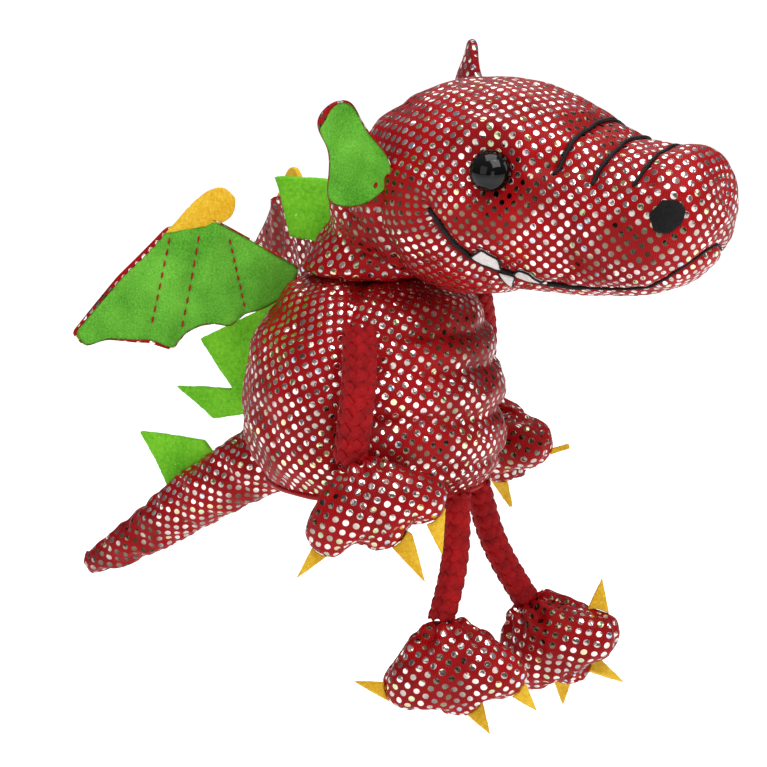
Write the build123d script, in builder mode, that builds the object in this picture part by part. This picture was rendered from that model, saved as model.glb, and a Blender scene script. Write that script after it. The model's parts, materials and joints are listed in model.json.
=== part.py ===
"""A small dragon finger puppet in dotted red cloth, sewn and stuffed, with felt claws and cord limbs.

The origin is the centre of the finger socket's mouth. +Z runs up the finger, the face looks
along -Y, and +X is the puppet's own left. Lengths are in millimetres.
"""

import os
from math import cos, radians, sin

from build123d import *

os.makedirs("parts", exist_ok=True)

# Cloth, felt and clearances
CLOTH = 0.6  # one layer of body cloth
SLACK = 0.12  # room between a skin and its stuffing
FELT = 1.1  # claw and spine felt
GAP = 0.3  # room between pieces that move apart

# Finger socket
SOCKET_R = 10.0
SOCKET_LENGTH = 38.0
LINING = 0.7
HEM_R = 22.4
HEM_THICKNESS = 0.9

# Body, as radius at height
BODY_PROFILE = [
    (22.3, 1.0),
    (24.2, 5),
    (25.2, 12),
    (25.1, 18),
    (24.1, 25),
    (22.1, 31.5),
    (18.4, 36.9),
    (13.6, 41.3),
]
SIDE_SEAM_Y = -6.5
NECK_Y = 1.0
NECK_BASE_Z = 43.0
NECK_BASE_R = 13.2

# Head, as (y, centre height, half width, half height)
HEAD_PROFILE = [
    (0.6, 62.5, 4.0, 4.0),
    (-0.8, 61.5, 9.0, 8.6),
    (-4.0, 60.5, 14.8, 13.6),
    (-9.5, 60.6, 19.0, 17.0),
    (-17.0, 61.4, 21.6, 19.4),
    (-25.0, 61.7, 21.9, 20.6),
    (-33.5, 62.0, 20.3, 20.1),
    (-42.0, 61.0, 17.9, 18.4),
    (-50.0, 59.2, 16.0, 16.3),
    (-58.0, 58.1, 15.0, 14.6),
    (-65.5, 58.4, 14.4, 13.9),
    (-71.5, 58.9, 13.0, 13.0),
    (-75.4, 59.0, 9.6, 9.8),
    (-77.0, 59.0, 3.6, 3.6),
]
NOD_PIVOT = (0, -9, 55)
NECK_BALL_R = 12.0
NECK_LEAN = (0, 0.72, -0.69)
NOD_ANGLE = 15
MOUTH_LINE = [
    (-19.5, 63.5),
    (-22.5, 59.5),
    (-29.7, 52.8),
    (-38.3, 49.3),
    (-46, 47.2),
    (-60, 46.6),
    (-70, 48.2),
    (-79, 53.6),
]

EYE_Y = -35.0
EYE_Z = 67.5
EYE_X = 18.7
EYE_R = 4.4
EYE_TILT = 18

# Limb cords, thicker in the arms than in the legs
CORD_R = {"arm": 3.3, "leg": 2.65}

# Paws
PAW_LENGTH = 16.5
PAW_STRETCH = {"arm": 0.86, "leg": 1.0}
CLAW_WIDTH = 4.8

# Wings
WING_ROOT = (8.2, 19.4)
WING_SWEEP = 36
WING_LAYER = 0.7
WING_OUTLINE = [(-3.2, 43.6), (2.4, 47.4), (12.1, 53.0), (21.2, 51.2), (40, 30.4)]
WING_FLAP = (-20, 35)
WING_SCALLOPS = [(37.4, 27.6), (29, 28.6), (20.0, 26.4), (14.6, 31.6), (8.6, 31.2), (2.4, 34.4)]

# Tail
TAIL_ROOT = (0, 24.8, 2.5)
TAIL_LENGTH = 54.0
TAIL_DROP = 33
TAIL_LIFT = (-20, 12)

# Spines, as (y, z) round each felt piece
SPINE_FELT = 1.5


def side_name(side):
    return "right" if side < 0 else "left"


def save(part, label):
    """Label a finished piece and write it out."""
    part.label = label
    export_step(part, f"parts/{label}.step")


def body_form(inset):
    """The body bag as a solid of revolution, drawn in all round by the inset."""
    points = [(r - inset, z) for r, z in BODY_PROFILE]
    low = points[0][1]
    high = NECK_BASE_Z - inset
    with BuildPart() as form:
        with BuildSketch(Plane.XZ):
            with BuildLine():
                Spline(*points, (points[-1][0] - 0.4, high))
                Polyline((points[-1][0] - 0.4, high), (0, high), (0, low), points[0])
            make_face()
        revolve(axis=Axis.Z)
    return form.part


def head_form(inset):
    """The head as a loft of upright ovals from the back of the skull to the nose."""
    with BuildPart() as form:
        for index, (y, z, half_width, half_height) in enumerate(HEAD_PROFILE):
            slide = inset if index == len(HEAD_PROFILE) - 1 else -inset if index == 0 else 0
            with BuildSketch(Plane(origin=(0, y + slide, z), x_dir=(1, 0, 0), z_dir=(0, -1, 0))):
                Ellipse(half_width - inset, half_height - inset)
        loft()
    return form.part


def neck_form(inset):
    """The neck: a round base on the body that leans forward into a ball inside the head."""
    lean = Vector(*NECK_LEAN).normalized()
    with BuildPart() as form:
        with BuildSketch(Plane.XY.offset(NECK_BASE_Z + GAP + inset)):
            with Locations((0, NECK_Y)):
                Circle(NECK_BASE_R - inset)
        with BuildSketch(Plane(origin=NOD_PIVOT, x_dir=(1, 0, 0), z_dir=-lean)):
            Circle(NECK_BALL_R - inset - 0.3)
        loft()
        with Locations(NOD_PIVOT):
            Sphere(NECK_BALL_R - inset)
        split(bisect_by=Plane.XY.offset(NECK_BASE_Z + GAP + inset), keep=Keep.TOP)
    return form.part


def neck_room():
    """The space that the neck needs inside the head while the head nods."""
    lean = Vector(*NECK_LEAN).normalized()
    ball_r = NECK_BALL_R + GAP
    reach = 40.0
    nod = radians(NOD_ANGLE)
    spread = (ball_r + reach * sin(nod)) / cos(nod)
    with BuildPart() as room:
        with BuildSketch(Plane(origin=NOD_PIVOT, z_dir=lean)):
            Circle(ball_r / cos(nod))
        with BuildSketch(Plane(origin=Vector(*NOD_PIVOT) + lean * reach, z_dir=lean)):
            Circle(spread)
        loft()
        with Locations(NOD_PIVOT):
            Sphere(ball_r)
    return room.part


def mouth_cutter(rise):
    """Everything below the mouth line, for parting the jaw from the head."""
    floor = 30.0
    line = [(y, z + rise) for y, z in MOUTH_LINE]
    with BuildPart() as cutter:
        with BuildSketch(Plane.YZ):
            with BuildLine():
                Spline(*line)
                Polyline(line[-1], (line[-1][0], floor), (line[0][0], floor), line[0])
            make_face()
        extrude(amount=40, both=True)
    return cutter.part


def turned_copies(form, pivot, direction, angles):
    """Copies of a form turned about a joint's axis the other way, to cut its travel from a piece."""
    axis = Axis(pivot, direction)
    return [form.rotate(axis, -angle) for angle in angles]


def paw_form(place, inset, toes, stretch):
    """A stuffed paw: gathered at the cord and spread to three toes."""
    sections = [
        (0, 4.0, 3.8),
        (3.5, 8.2, 6.2),
        (8, 12.2, 7.2),
        (12, 13.2, 7.0),
        (15.2, 11, 5.6),
        (PAW_LENGTH, 6, 3),
    ]
    with BuildPart() as form:
        for index, (depth, half_width, half_depth) in enumerate(sections):
            slide = -inset if index == len(sections) - 1 else inset if index == 0 else 0
            with BuildSketch(place.offset(-depth * stretch - slide)):
                Ellipse(half_width - inset, half_depth - inset)
        loft()
        for across, forward, depth, radius in toes:
            with Locations(place.location * Location((across, forward, -depth * stretch))):
                Sphere(radius - inset)
    return form.part


def claw_blade(base, point, flat_normal, width=CLAW_WIDTH):
    """A flat felt claw: round at its sewn end and sharp at its tip."""
    along = Vector(*point) - Vector(*base)
    length = along.length
    along = along.normalized()
    normal = Vector(*flat_normal)
    normal = (normal - along * normal.dot(along)).normalized()
    with BuildPart() as blade:
        with BuildSketch(Plane(origin=base, x_dir=along, z_dir=normal)):
            with BuildLine():
                ThreePointArc((0, width / 2), (-width * 0.35, 0), (0, -width / 2))
                Spline((0, -width / 2), (length * 0.55, -width * 0.24), (length, 0))
                Spline((length, 0), (length * 0.55, width * 0.24), (0, width / 2))
            make_face()
        extrude(amount=FELT / 2, both=True)
    return blade.part


def cord_form(route, cord_r):
    """A limb cord along its route, rounded at both ends, where it pivots."""
    with BuildPart() as form:
        with BuildLine() as path:
            Spline(*route)
        with BuildSketch(path.line ^ 0):
            Circle(cord_r)
        sweep(path=path.line)
        with Locations(route[0], route[-1]):
            Sphere(cord_r)
    return form.part


def spine_strip(points, thickness=SPINE_FELT):
    """A zigzag of felt standing in the puppet's middle plane."""
    with BuildPart() as strip:
        with BuildSketch(Plane.YZ):
            with BuildLine():
                Polyline(*points, close=True)
            make_face()
        extrude(amount=thickness / 2, both=True)
    return strip.part


# Body bag: a back panel and a belly panel, sewn along the two side seams
body_outer = body_form(0)
body_inner = body_form(CLOTH)
for panel, keep in (("body_back_panel", Keep.TOP), ("body_belly_panel", Keep.BOTTOM)):
    shift = SLACK / 2 if keep == Keep.TOP else -SLACK / 2
    with BuildPart() as body_panel:
        add(body_outer)
        add(body_inner, mode=Mode.SUBTRACT)
        split(bisect_by=Plane(origin=(0, SIDE_SEAM_Y + shift, 0), z_dir=(0, 1, 0)), keep=keep)
    save(body_panel.part, panel)

# Finger socket: a lining tube with a closed, rounded end and a hem round its mouth
with BuildPart() as finger_lining:
    with BuildSketch(Plane.XY):
        Circle(HEM_R)
    extrude(amount=HEM_THICKNESS)
    with BuildSketch(Plane.XY):
        Circle(SOCKET_R + LINING)
    extrude(amount=SOCKET_LENGTH + 3.4)
    fillet(finger_lining.edges().group_by(Axis.Z)[-1], 4.5)
    with BuildSketch(Plane.XY):
        Circle(SOCKET_R)
    extrude(amount=SOCKET_LENGTH, mode=Mode.SUBTRACT)
save(finger_lining.part, "finger_lining")

with BuildPart() as body_stuffing:
    add(body_form(CLOTH + SLACK))
    with BuildSketch(Plane.XY):
        Circle(SOCKET_R + LINING + SLACK)
    extrude(amount=SOCKET_LENGTH + 3.5 + SLACK, mode=Mode.SUBTRACT)
save(body_stuffing.part, "body_stuffing")

back_spines_felt = spine_strip(
    [
        (19.0, 40.0),
        (26.9, 45.3),
        (27.4, 36.5),
        (25.5, 33.0),
        (41.8, 24.7),
        (33.1, 15.3),
        (46.8, 14.4),
        (39.0, 8.2),
        (26.0, 11.5),
        (24.5, 20),
    ]
)
with BuildPart() as back_spines:
    add(back_spines_felt)
    add(body_outer, mode=Mode.SUBTRACT)
save(back_spines.part, "back_spines")

# Neck
with BuildPart() as neck_skin:
    add(neck_form(0))
    add(neck_form(CLOTH), mode=Mode.SUBTRACT)
save(neck_skin.part, "neck_skin")
save(neck_form(CLOTH + SLACK), "neck_stuffing")

with BuildPart() as neck_spines:
    add(spine_strip([(12.5, 47.2), (19.8, 47.8), (23.8, 59.6), (11.6, 60), (5.6, 56)]))
    add(neck_form(0), mode=Mode.SUBTRACT)
save(neck_spines.part, "neck_spines")

# Head: an upper skin and a jaw skin, sewn along the mouth, over one stuffing
head_outer = head_form(0)
head_inner = head_form(CLOTH)
room = neck_room()
jaw_side = mouth_cutter(-0.1)
head_side = mouth_cutter(0.1)
eye_planes = {
    side: Plane(
        origin=(side * EYE_X, EYE_Y, EYE_Z),
        z_dir=(side * cos(radians(EYE_TILT)), -0.22, sin(radians(EYE_TILT))),
    )
    for side in (-1, 1)
}
with BuildPart() as head_skin:
    add(head_outer)
    add(head_inner, mode=Mode.SUBTRACT)
    add(room, mode=Mode.SUBTRACT)
    add(head_side, mode=Mode.SUBTRACT)
    for eye_plane in eye_planes.values():
        with BuildSketch(eye_plane.offset(3)):
            Circle(1.6)
        extrude(amount=-6, mode=Mode.SUBTRACT)
save(head_skin.part, "head_skin")

with BuildPart() as jaw_skin:
    add(head_outer)
    add(head_inner, mode=Mode.SUBTRACT)
    add(room, mode=Mode.SUBTRACT)
    add(jaw_side, mode=Mode.INTERSECT)
save(jaw_skin.part, "jaw_skin")

with BuildPart() as head_stuffing:
    add(head_form(CLOTH + SLACK))
    add(room, mode=Mode.SUBTRACT)
    for eye_plane in eye_planes.values():
        with BuildSketch(eye_plane.offset(3)):
            Circle(4.6)
        extrude(amount=-8.4, mode=Mode.SUBTRACT)
save(head_stuffing.part, "head_stuffing")

# Eyes: glossy domes on shanks, each held by a washer inside the head
for side, eye_plane in eye_planes.items():
    with BuildPart() as eye:
        with Locations(eye_plane.offset(-0.6).location):
            Sphere(EYE_R)
        split(bisect_by=eye_plane.offset(0.9), keep=Keep.TOP)
        with BuildSketch(eye_plane.offset(0.9)):
            Circle(1.3)
        extrude(amount=-6)
    save(eye.part, f"eye_{side_name(side)}")
    with BuildPart() as eye_washer:
        with BuildSketch(eye_plane.offset(-3.4)):
            Circle(4.2)
            Circle(1.4, mode=Mode.SUBTRACT)
        extrude(amount=-1.2)
    save(eye_washer.part, f"eye_washer_{side_name(side)}")


def head_section(y):
    """The half width, half height and centre height of the head at a station along it."""
    for (y0, z0, w0, h0), (y1, z1, w1, h1) in zip(HEAD_PROFILE, HEAD_PROFILE[1:]):
        if y1 <= y <= y0:
            part_way = (y0 - y) / (y0 - y1)
            return (
                w0 + (w1 - w0) * part_way,
                h0 + (h1 - h0) * part_way,
                z0 + (z1 - z0) * part_way,
            )
    raise ValueError("station is off the head")


# Three black stitches across the top of the snout
with BuildPart() as snout_stitches:
    for station in (-49, -56, -64):
        half_width, half_height, centre = head_section(station)
        with BuildSketch(Plane(origin=(0, station, centre), x_dir=(1, 0, 0), z_dir=(0, -1, 0))):
            Ellipse(half_width + 1.0, half_height + 1.0)
            with Locations((0, -8)):
                Rectangle(60, half_height * 2 + 7, mode=Mode.SUBTRACT)
        extrude(amount=0.5, both=True)
    add(head_outer, mode=Mode.SUBTRACT)
save(snout_stitches.part, "snout_stitches")

# Mouth thread and felt teeth lie on the skin along the mouth line
with BuildPart() as head_grown:
    add(head_form(-1.0))
    add(room, mode=Mode.SUBTRACT)
with BuildPart() as mouth_thread:
    add(head_grown.part)
    add(head_outer, mode=Mode.SUBTRACT)
    add(mouth_cutter(0.55), mode=Mode.INTERSECT)
    add(mouth_cutter(-0.55), mode=Mode.SUBTRACT)
save(mouth_thread.part, "mouth_thread")

for label, teeth_at, gum in (
    ("upper_teeth", ((-34.8, 50.6, 53.8), (-43.6, 48.0, 51.4)), 0.65),
    ("lower_teeth", ((-39.4, 49.0, 45.8),), -0.65),
):
    with BuildPart() as teeth:
        for y, root_z, tip_z in teeth_at:
            with BuildSketch(Plane.YZ):
                with BuildLine():
                    Polyline((y - 2.2, root_z), (y + 2.2, root_z), (y, tip_z), close=True)
                make_face()
            extrude(amount=40, both=True)
        add(head_form(-0.8), mode=Mode.INTERSECT)
        add(head_outer, mode=Mode.SUBTRACT)
        add(mouth_cutter(gum), mode=Mode.SUBTRACT if gum > 0 else Mode.INTERSECT)
    save(teeth.part, label)

# Nostrils: black felt set on each side of the nose
for side in (-1, 1):
    nostril_plane = Plane(origin=(side * 12.6, -69.6, 61.8), z_dir=(side * 0.86, -0.46, 0.2))
    with BuildPart() as nostril:
        with BuildSketch(nostril_plane.offset(-4)):
            Ellipse(3.4, 2.7)
        extrude(amount=8)
        add(head_form(-0.9), mode=Mode.INTERSECT)
        add(head_outer, mode=Mode.SUBTRACT)
    save(nostril.part, f"nostril_{side_name(side)}")

# Ears: a dotted back and a velour front, sewn edge to edge and tacked to the head by the root
EAR_ROOTS = {-1: (-19.6, -13.4, 65.2), 1: (18.6, -13.0, 68.8)}
EAR_BEND = (-15, 20)
EAR_OUTLINE = [
    (0.2, -5.2),
    (4.5, -6.4),
    (8.4, -5.4),
    (11.2, 0),
    (12.6, 7),
    (12.8, 12.8),
    (10.4, 16.4),
    (6.5, 14.8),
    (1.8, 9.8),
    (-0.2, 4.5),
]
for side, ear_root in EAR_ROOTS.items():
    ear_plane = Plane(origin=ear_root, x_dir=(side * 0.58, 0.81, 0.0), z_dir=(side * 0.78, -0.56, -0.26))
    up = 1 if ear_plane.y_dir.Z > 0 else -1
    ear_angles = (EAR_BEND[0], 0, EAR_BEND[1])
    ear_travel = turned_copies(head_form(-GAP), ear_root, (0, 0, side), ear_angles)
    for label, near, far in (("lining", 0.05, 0.75), ("skin", -0.05, -0.75)):
        with BuildPart() as ear_layer:
            with BuildSketch(ear_plane.offset(near)):
                with BuildLine():
                    Spline(*[(x, up * y) for x, y in EAR_OUTLINE], periodic=True)
                make_face()
            extrude(amount=far - near)
            add(ear_travel, mode=Mode.SUBTRACT)
        save(ear_layer.part, f"ear_{label}_{side_name(side)}")

# Wings: a dotted inner face and a velour outer face, with veins sewn through and a felt claw on top
for side in (-1, 1):
    out = Vector(side * sin(radians(WING_SWEEP)), cos(radians(WING_SWEEP)), 0)
    face = Vector(side * cos(radians(WING_SWEEP)), -sin(radians(WING_SWEEP)), 0)
    wing_plane = Plane(origin=(side * WING_ROOT[0], WING_ROOT[1], 0), x_dir=out, z_dir=face)
    up = 1 if wing_plane.y_dir.Z > 0 else -1
    wing_angles = (WING_FLAP[0], 0, WING_FLAP[1])
    wing_travel = turned_copies(body_form(-GAP), wing_plane.origin, (0, 0, -side), wing_angles)
    layers = (("lining", 0.05, 0.05 + WING_LAYER), ("skin", -0.05, -0.05 - WING_LAYER))
    for label, near, far in layers:
        with BuildPart() as wing_layer:
            with BuildSketch(wing_plane.offset(near)):
                with BuildLine():
                    Polyline(*[(x, up * z) for x, z in WING_OUTLINE + WING_SCALLOPS], close=True)
                make_face()
            extrude(amount=far - near)
            add(wing_travel, mode=Mode.SUBTRACT)
        save(wing_layer.part, f"wing_{label}_{side_name(side)}")
    with BuildPart() as wing_claw:
        with BuildSketch(wing_plane.offset(-FELT / 2)):
            with BuildLine():
                Spline((7.2, up * 58.6), (10.6, up * 60.8), (15.4, up * 58.0), (21.6, up * 51.9))
                Line((21.6, up * 51.9), (10.4, up * 53.6))
                Spline((10.4, up * 53.6), (7.6, up * 55.6), (7.2, up * 58.6))
            make_face()
        extrude(amount=FELT)
        with BuildSketch(wing_plane.offset(-3)):
            with BuildLine():
                Polyline(*[(x, up * z) for x, z in WING_OUTLINE + WING_SCALLOPS], close=True)
            make_face()
        extrude(amount=6, mode=Mode.SUBTRACT)
    save(wing_claw.part, f"wing_claw_{side_name(side)}")
    with BuildPart() as wing_veins:
        for top, foot in (((20.4, 49.4), (24.4, 31.5)), ((14.6, 49.8), (18.4, 30.4)), ((8.6, 48.8), (5.6, 34.4))):
            for station in (0.1, 0.32, 0.54, 0.76):
                x = top[0] + (foot[0] - top[0]) * station
                z = top[1] + (foot[1] - top[1]) * station
                with BuildSketch(wing_plane.offset(WING_LAYER + 0.06)):
                    with Locations((x, up * z)):
                        Rectangle(0.5, 1.6)
                extrude(amount=0.3)
    save(wing_veins.part, f"wing_veins_{side_name(side)}")

# Arms and legs: a cord, then a paw with three felt claws, each given by its base, its tip
# and the way its flat faces
LIMBS = {
    "arm_right": {
        "route": [(-23.6, -9.6, 34.0), (-26.8, -11.4, 26.4), (-28.6, -11.6, 19.6), (-28.8, -10.8, 13.4)],
        "spread": (0.5, -0.866, 0.0),
        "fall": (-0.05, -0.4, -0.9),
        "claws": [
            ((-34.4, -9.4, -3.4), (-39.0, -4.4, -11.0), (-0.8, -0.45, 0.2)),
            ((-26.6, -20.6, -4.0), (-25.8, -25.4, -12.0), (-0.8, -0.5, 0.2)),
            ((-23.0, -25.6, 1.6), (-24.0, -28.2, -6.6), (-0.75, -0.6, 0.2)),
        ],
    },
    "arm_left": {
        "route": [(24.2, -8.8, 34.0), (27.6, -8.0, 26.0), (30.0, -6.4, 19.4), (31.6, -4.6, 13.4)],
        "spread": (-0.25, -0.97, 0.0),
        "fall": (0.1, -0.3, -0.95),
        "claws": [
            ((35.6, 0.2, -1.6), (38.6, 3.4, -8.0), (0.9, -0.3, 0.2)),
            ((33.6, -8.6, -4.2), (35.2, -11.4, -11.6), (0.95, -0.2, 0.15)),
            ((31.4, -18.6, 0.8), (35.2, -25.0, 3.0), (0.25, -0.15, 0.95)),
        ],
    },
    "leg_right": {
        "route": [(-5.2, -21.0, -3.7), (-6.6, -21.6, -9.8), (-8.6, -21.7, -15.8), (-10.2, -21.0, -21.2)],
        "spread": (0.42, -0.9, 0.0),
        "fall": (-0.06, -0.18, -1.0),
        "claws": [
            ((-15.6, -14.2, -38.6), (-19.8, -5.8, -36.0), (-0.8, -0.45, 0.35)),
            ((-9.2, -26.4, -40.0), (-8.0, -30.2, -46.4), (-0.8, -0.45, 0.3)),
            ((-6.0, -34.2, -36.0), (-3.9, -38.4, -41.4), (-0.8, -0.5, 0.2)),
        ],
    },
    "leg_left": {
        "route": [(5.2, -21.0, -3.7), (6.0, -22.6, -9.8), (7.4, -25.0, -15.8), (9.2, -27.6, -21.2)],
        "spread": (-0.1, -0.5, 0.85),
        "fall": (0.2, -0.42, -0.84),
        "claws": [
            ((14.6, -34.4, -38.2), (15.4, -34.0, -45.6), (-0.8, -0.5, 0.1)),
            ((15.8, -38.0, -35.2), (19.2, -45.8, -40.2), (-0.7, -0.5, 0.5)),
            ((13.6, -42.6, -25.4), (15.4, -42.6, -18.2), (-0.8, -0.5, 0.1)),
        ],
    },
}
TOES = [(-8.6, 0.6, 11.6, 5.2), (0.6, 1.4, 13.4, 5.4), (9.2, 0.6, 11.2, 5.2)]
PAW_NAMES = {"arm": "hand", "leg": "foot"}
for limb, shape in LIMBS.items():
    kind, side = limb.split("_")
    paw = PAW_NAMES[kind]
    stretch = PAW_STRETCH[kind]
    save(cord_form(shape["route"], CORD_R[kind]), f"{kind}_cord_{side}")
    fall = Vector(*shape["fall"]).normalized()
    spread = Vector(*shape["spread"])
    spread = (spread - fall * spread.dot(fall)).normalized()
    gather = Vector(*shape["route"][-1]) + fall * (CORD_R[kind] + GAP)
    paw_plane = Plane(origin=gather, x_dir=spread, z_dir=-fall)
    with BuildPart() as paw_skin:
        add(paw_form(paw_plane, 0, TOES, stretch))
        add(paw_form(paw_plane, CLOTH, TOES, stretch), mode=Mode.SUBTRACT)
    save(paw_skin.part, f"{paw}_skin_{side}")
    save(paw_form(paw_plane, CLOTH + SLACK, TOES, stretch), f"{paw}_stuffing_{side}")
    with BuildPart() as claws:
        for base, tip, flat_normal in shape["claws"]:
            add(claw_blade(base, tip, flat_normal))
        add(paw_form(paw_plane, -0.05, TOES, stretch), mode=Mode.SUBTRACT)
    save(claws.part, f"{paw}_claws_{side}")

# Tail: a tapering tube that leaves the back of the body and falls behind it
fall_angle = radians(TAIL_DROP)
tail_along = Vector(0, cos(fall_angle), -sin(fall_angle))


def tail_form(inset):
    """The tail as a loft of circles that shrink towards a ball at its tip."""
    tip_r = 3.1
    sections = [(-5, 6.8), (5, 6.8), (15, 6.4), (25, 5.8), (35, 4.8), (45, 3.7), (TAIL_LENGTH - tip_r, tip_r + 0.1)]
    with BuildPart() as form:
        for along, radius in sections:
            place = Vector(*TAIL_ROOT) + tail_along * along
            with BuildSketch(Plane(origin=place, x_dir=(1, 0, 0), z_dir=tail_along)):
                Circle(radius - inset)
        loft()
        with Locations(Vector(*TAIL_ROOT) + tail_along * (TAIL_LENGTH - tip_r)):
            Sphere(tip_r - inset)
    return form.part


with BuildPart() as body_and_hem:
    add(body_form(-GAP))
    with BuildSketch(Plane.XY.offset(-GAP)):
        Circle(HEM_R + GAP)
    extrude(amount=HEM_THICKNESS + 2 * GAP)
tail_travel = turned_copies(body_and_hem.part, TAIL_ROOT, (1, 0, 0), (TAIL_LIFT[0], 0, TAIL_LIFT[1]))
with BuildPart() as tail_skin:
    add(tail_form(0))
    add(tail_form(CLOTH), mode=Mode.SUBTRACT)
    add(tail_travel, mode=Mode.SUBTRACT)
save(tail_skin.part, "tail_skin")
with BuildPart() as tail_stuffing:
    add(tail_form(CLOTH + SLACK))
    add(tail_travel, mode=Mode.SUBTRACT)
save(tail_stuffing.part, "tail_stuffing")
with BuildPart() as tail_spine:
    add(spine_strip([(38.5, 0.8), (41.0, 3.6), (55.9, 4.0), (49.9, -8.0), (48.0, -11.5), (38.5, -6)]))
    add(tail_form(0), mode=Mode.SUBTRACT)
save(tail_spine.part, "tail_spine")
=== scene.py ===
"""A small dragon finger puppet in dotted red cloth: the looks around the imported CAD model.

Shapes are drawn up in millimetres in the row frame and written to Blender in metres.
"""

import json
import math

import bmesh
import bpy
import numpy as np
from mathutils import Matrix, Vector, noise
from mathutils.bvhtree import BVHTree


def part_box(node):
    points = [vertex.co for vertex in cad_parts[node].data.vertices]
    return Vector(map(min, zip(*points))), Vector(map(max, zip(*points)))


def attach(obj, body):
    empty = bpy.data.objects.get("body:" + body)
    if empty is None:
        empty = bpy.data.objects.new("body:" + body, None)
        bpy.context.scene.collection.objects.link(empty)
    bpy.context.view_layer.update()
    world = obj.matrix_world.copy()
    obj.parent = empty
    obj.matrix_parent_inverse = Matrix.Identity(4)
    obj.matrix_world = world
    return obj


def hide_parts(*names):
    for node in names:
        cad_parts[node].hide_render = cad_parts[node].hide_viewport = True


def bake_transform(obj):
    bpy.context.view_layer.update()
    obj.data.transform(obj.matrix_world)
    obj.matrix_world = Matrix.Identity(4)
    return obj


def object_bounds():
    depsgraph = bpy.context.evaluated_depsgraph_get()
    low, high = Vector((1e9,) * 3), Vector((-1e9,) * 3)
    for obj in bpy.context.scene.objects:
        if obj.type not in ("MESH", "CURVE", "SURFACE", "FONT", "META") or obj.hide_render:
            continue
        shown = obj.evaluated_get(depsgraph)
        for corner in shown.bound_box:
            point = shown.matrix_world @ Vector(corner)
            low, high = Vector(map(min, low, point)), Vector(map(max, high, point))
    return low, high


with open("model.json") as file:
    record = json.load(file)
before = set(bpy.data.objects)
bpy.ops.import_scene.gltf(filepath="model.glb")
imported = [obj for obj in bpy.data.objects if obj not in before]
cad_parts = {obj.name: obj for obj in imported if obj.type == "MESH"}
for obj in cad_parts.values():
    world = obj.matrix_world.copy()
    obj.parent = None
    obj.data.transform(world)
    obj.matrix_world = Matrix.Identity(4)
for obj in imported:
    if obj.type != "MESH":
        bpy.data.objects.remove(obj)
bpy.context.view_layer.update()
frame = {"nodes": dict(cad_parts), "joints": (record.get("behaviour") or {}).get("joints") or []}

MM = 0.001
SIM_SCALE = 10.0  # cloth is simulated at ten times its size, where the solver's stiffness suits it
ISLAND_STEP = np.array([31.7, 17.3])  # millimetres between the patterns, so that no two start on the same dot
scene = bpy.context.scene
NODES = frame["nodes"]
JOINTS = {j["name"]: j for j in frame["joints"]}


# ---------------------------------------------------------------- numbers and curves
def box(*nodes):
    """The lowest and highest corners of some CAD nodes, in millimetres."""
    corners = [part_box(n) for n in nodes]
    return (
        np.min([np.array(low) for low, _ in corners], axis=0) / MM,
        np.max([np.array(high) for _, high in corners], axis=0) / MM,
    )


def middle(*nodes):
    low, high = box(*nodes)
    return (low + high) / 2


def pivot(joint):
    return np.array(JOINTS[joint]["pos_m"]) / MM


def unit(v):
    v = np.asarray(v, float)
    return v / np.maximum(np.linalg.norm(v, axis=-1, keepdims=True), 1e-12)


def spline(knots, values, at):
    """A natural cubic spline through the values at the knots."""
    x = np.asarray(knots, float)
    y = np.asarray(values, float)
    shape = y.shape
    y = y.reshape(len(x), -1)
    h = np.diff(x)
    n = len(x)
    a = np.zeros((n, n))
    b = np.zeros((n, y.shape[1]))
    a[0, 0] = a[-1, -1] = 1
    for i in range(1, n - 1):
        a[i, i - 1 : i + 2] = h[i - 1], 2 * (h[i - 1] + h[i]), h[i]
        b[i] = 6 * ((y[i + 1] - y[i]) / h[i] - (y[i] - y[i - 1]) / h[i - 1])
    m = np.linalg.solve(a, b)
    at = np.clip(np.asarray(at, float), x[0], x[-1])
    k = np.clip(np.searchsorted(x, at) - 1, 0, n - 2)
    left, right, hk = (at - x[k])[:, None], (x[k + 1] - at)[:, None], h[k][:, None]
    out = (m[k] * right**3 + m[k + 1] * left**3) / (6 * hk)
    out += (y[k] / hk - m[k] * hk / 6) * right + (y[k + 1] / hk - m[k + 1] * hk / 6) * left
    return out.reshape((len(at),) + shape[1:])


def walked(path):
    """How far along a path each of its points is."""
    return np.concatenate([[0], np.cumsum(np.linalg.norm(np.diff(path, axis=0), axis=1))])


def through(points, count):
    """Points evenly along a smooth curve through some points."""
    p = np.asarray(points, float)
    t = walked(p)
    fine = spline(t, p, np.linspace(0, t[-1], 400))
    s = walked(fine)
    at = np.linspace(0, s[-1], count)
    return np.stack([np.interp(at, s, fine[:, i]) for i in range(p.shape[1])], axis=1)


def bump(x, at, width):
    return np.exp(-(((x - at) / width) ** 2))


def step(x, low, high):
    t = np.clip((x - low) / (high - low), 0, 1)
    return t * t * (3 - 2 * t)


def ripple(co, size, seed):
    """Smooth noise, about -1 to 1, with folds about size millimetres across (one number or three)."""
    scaled = np.asarray(co) / np.asarray(size, float) + np.array([seed * 7.3, seed * 3.1, seed * 5.7])
    return np.array([noise.noise(Vector(p)) for p in scaled]) * 1.6


def gap_to(co, line):
    """Each point's distance to a polyline, and how far along the line its nearest point lies, from 0 to 1."""
    line = np.asarray(line, float)
    lengths = np.linalg.norm(np.diff(line, axis=0), axis=1)
    run = np.concatenate([[0], np.cumsum(lengths)])
    best = np.full(len(co), 1e9)
    where = np.zeros(len(co))
    for i, (a, b) in enumerate(zip(line, line[1:])):
        ab = b - a
        t = np.clip(((co - a) @ ab) / max(ab @ ab, 1e-12), 0, 1)
        d = np.linalg.norm(co - (a + t[:, None] * ab), axis=1)
        near = d < best
        best[near] = d[near]
        where[near] = ((run[i] + t * lengths[i]) / run[-1])[near]
    return best, where


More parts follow.
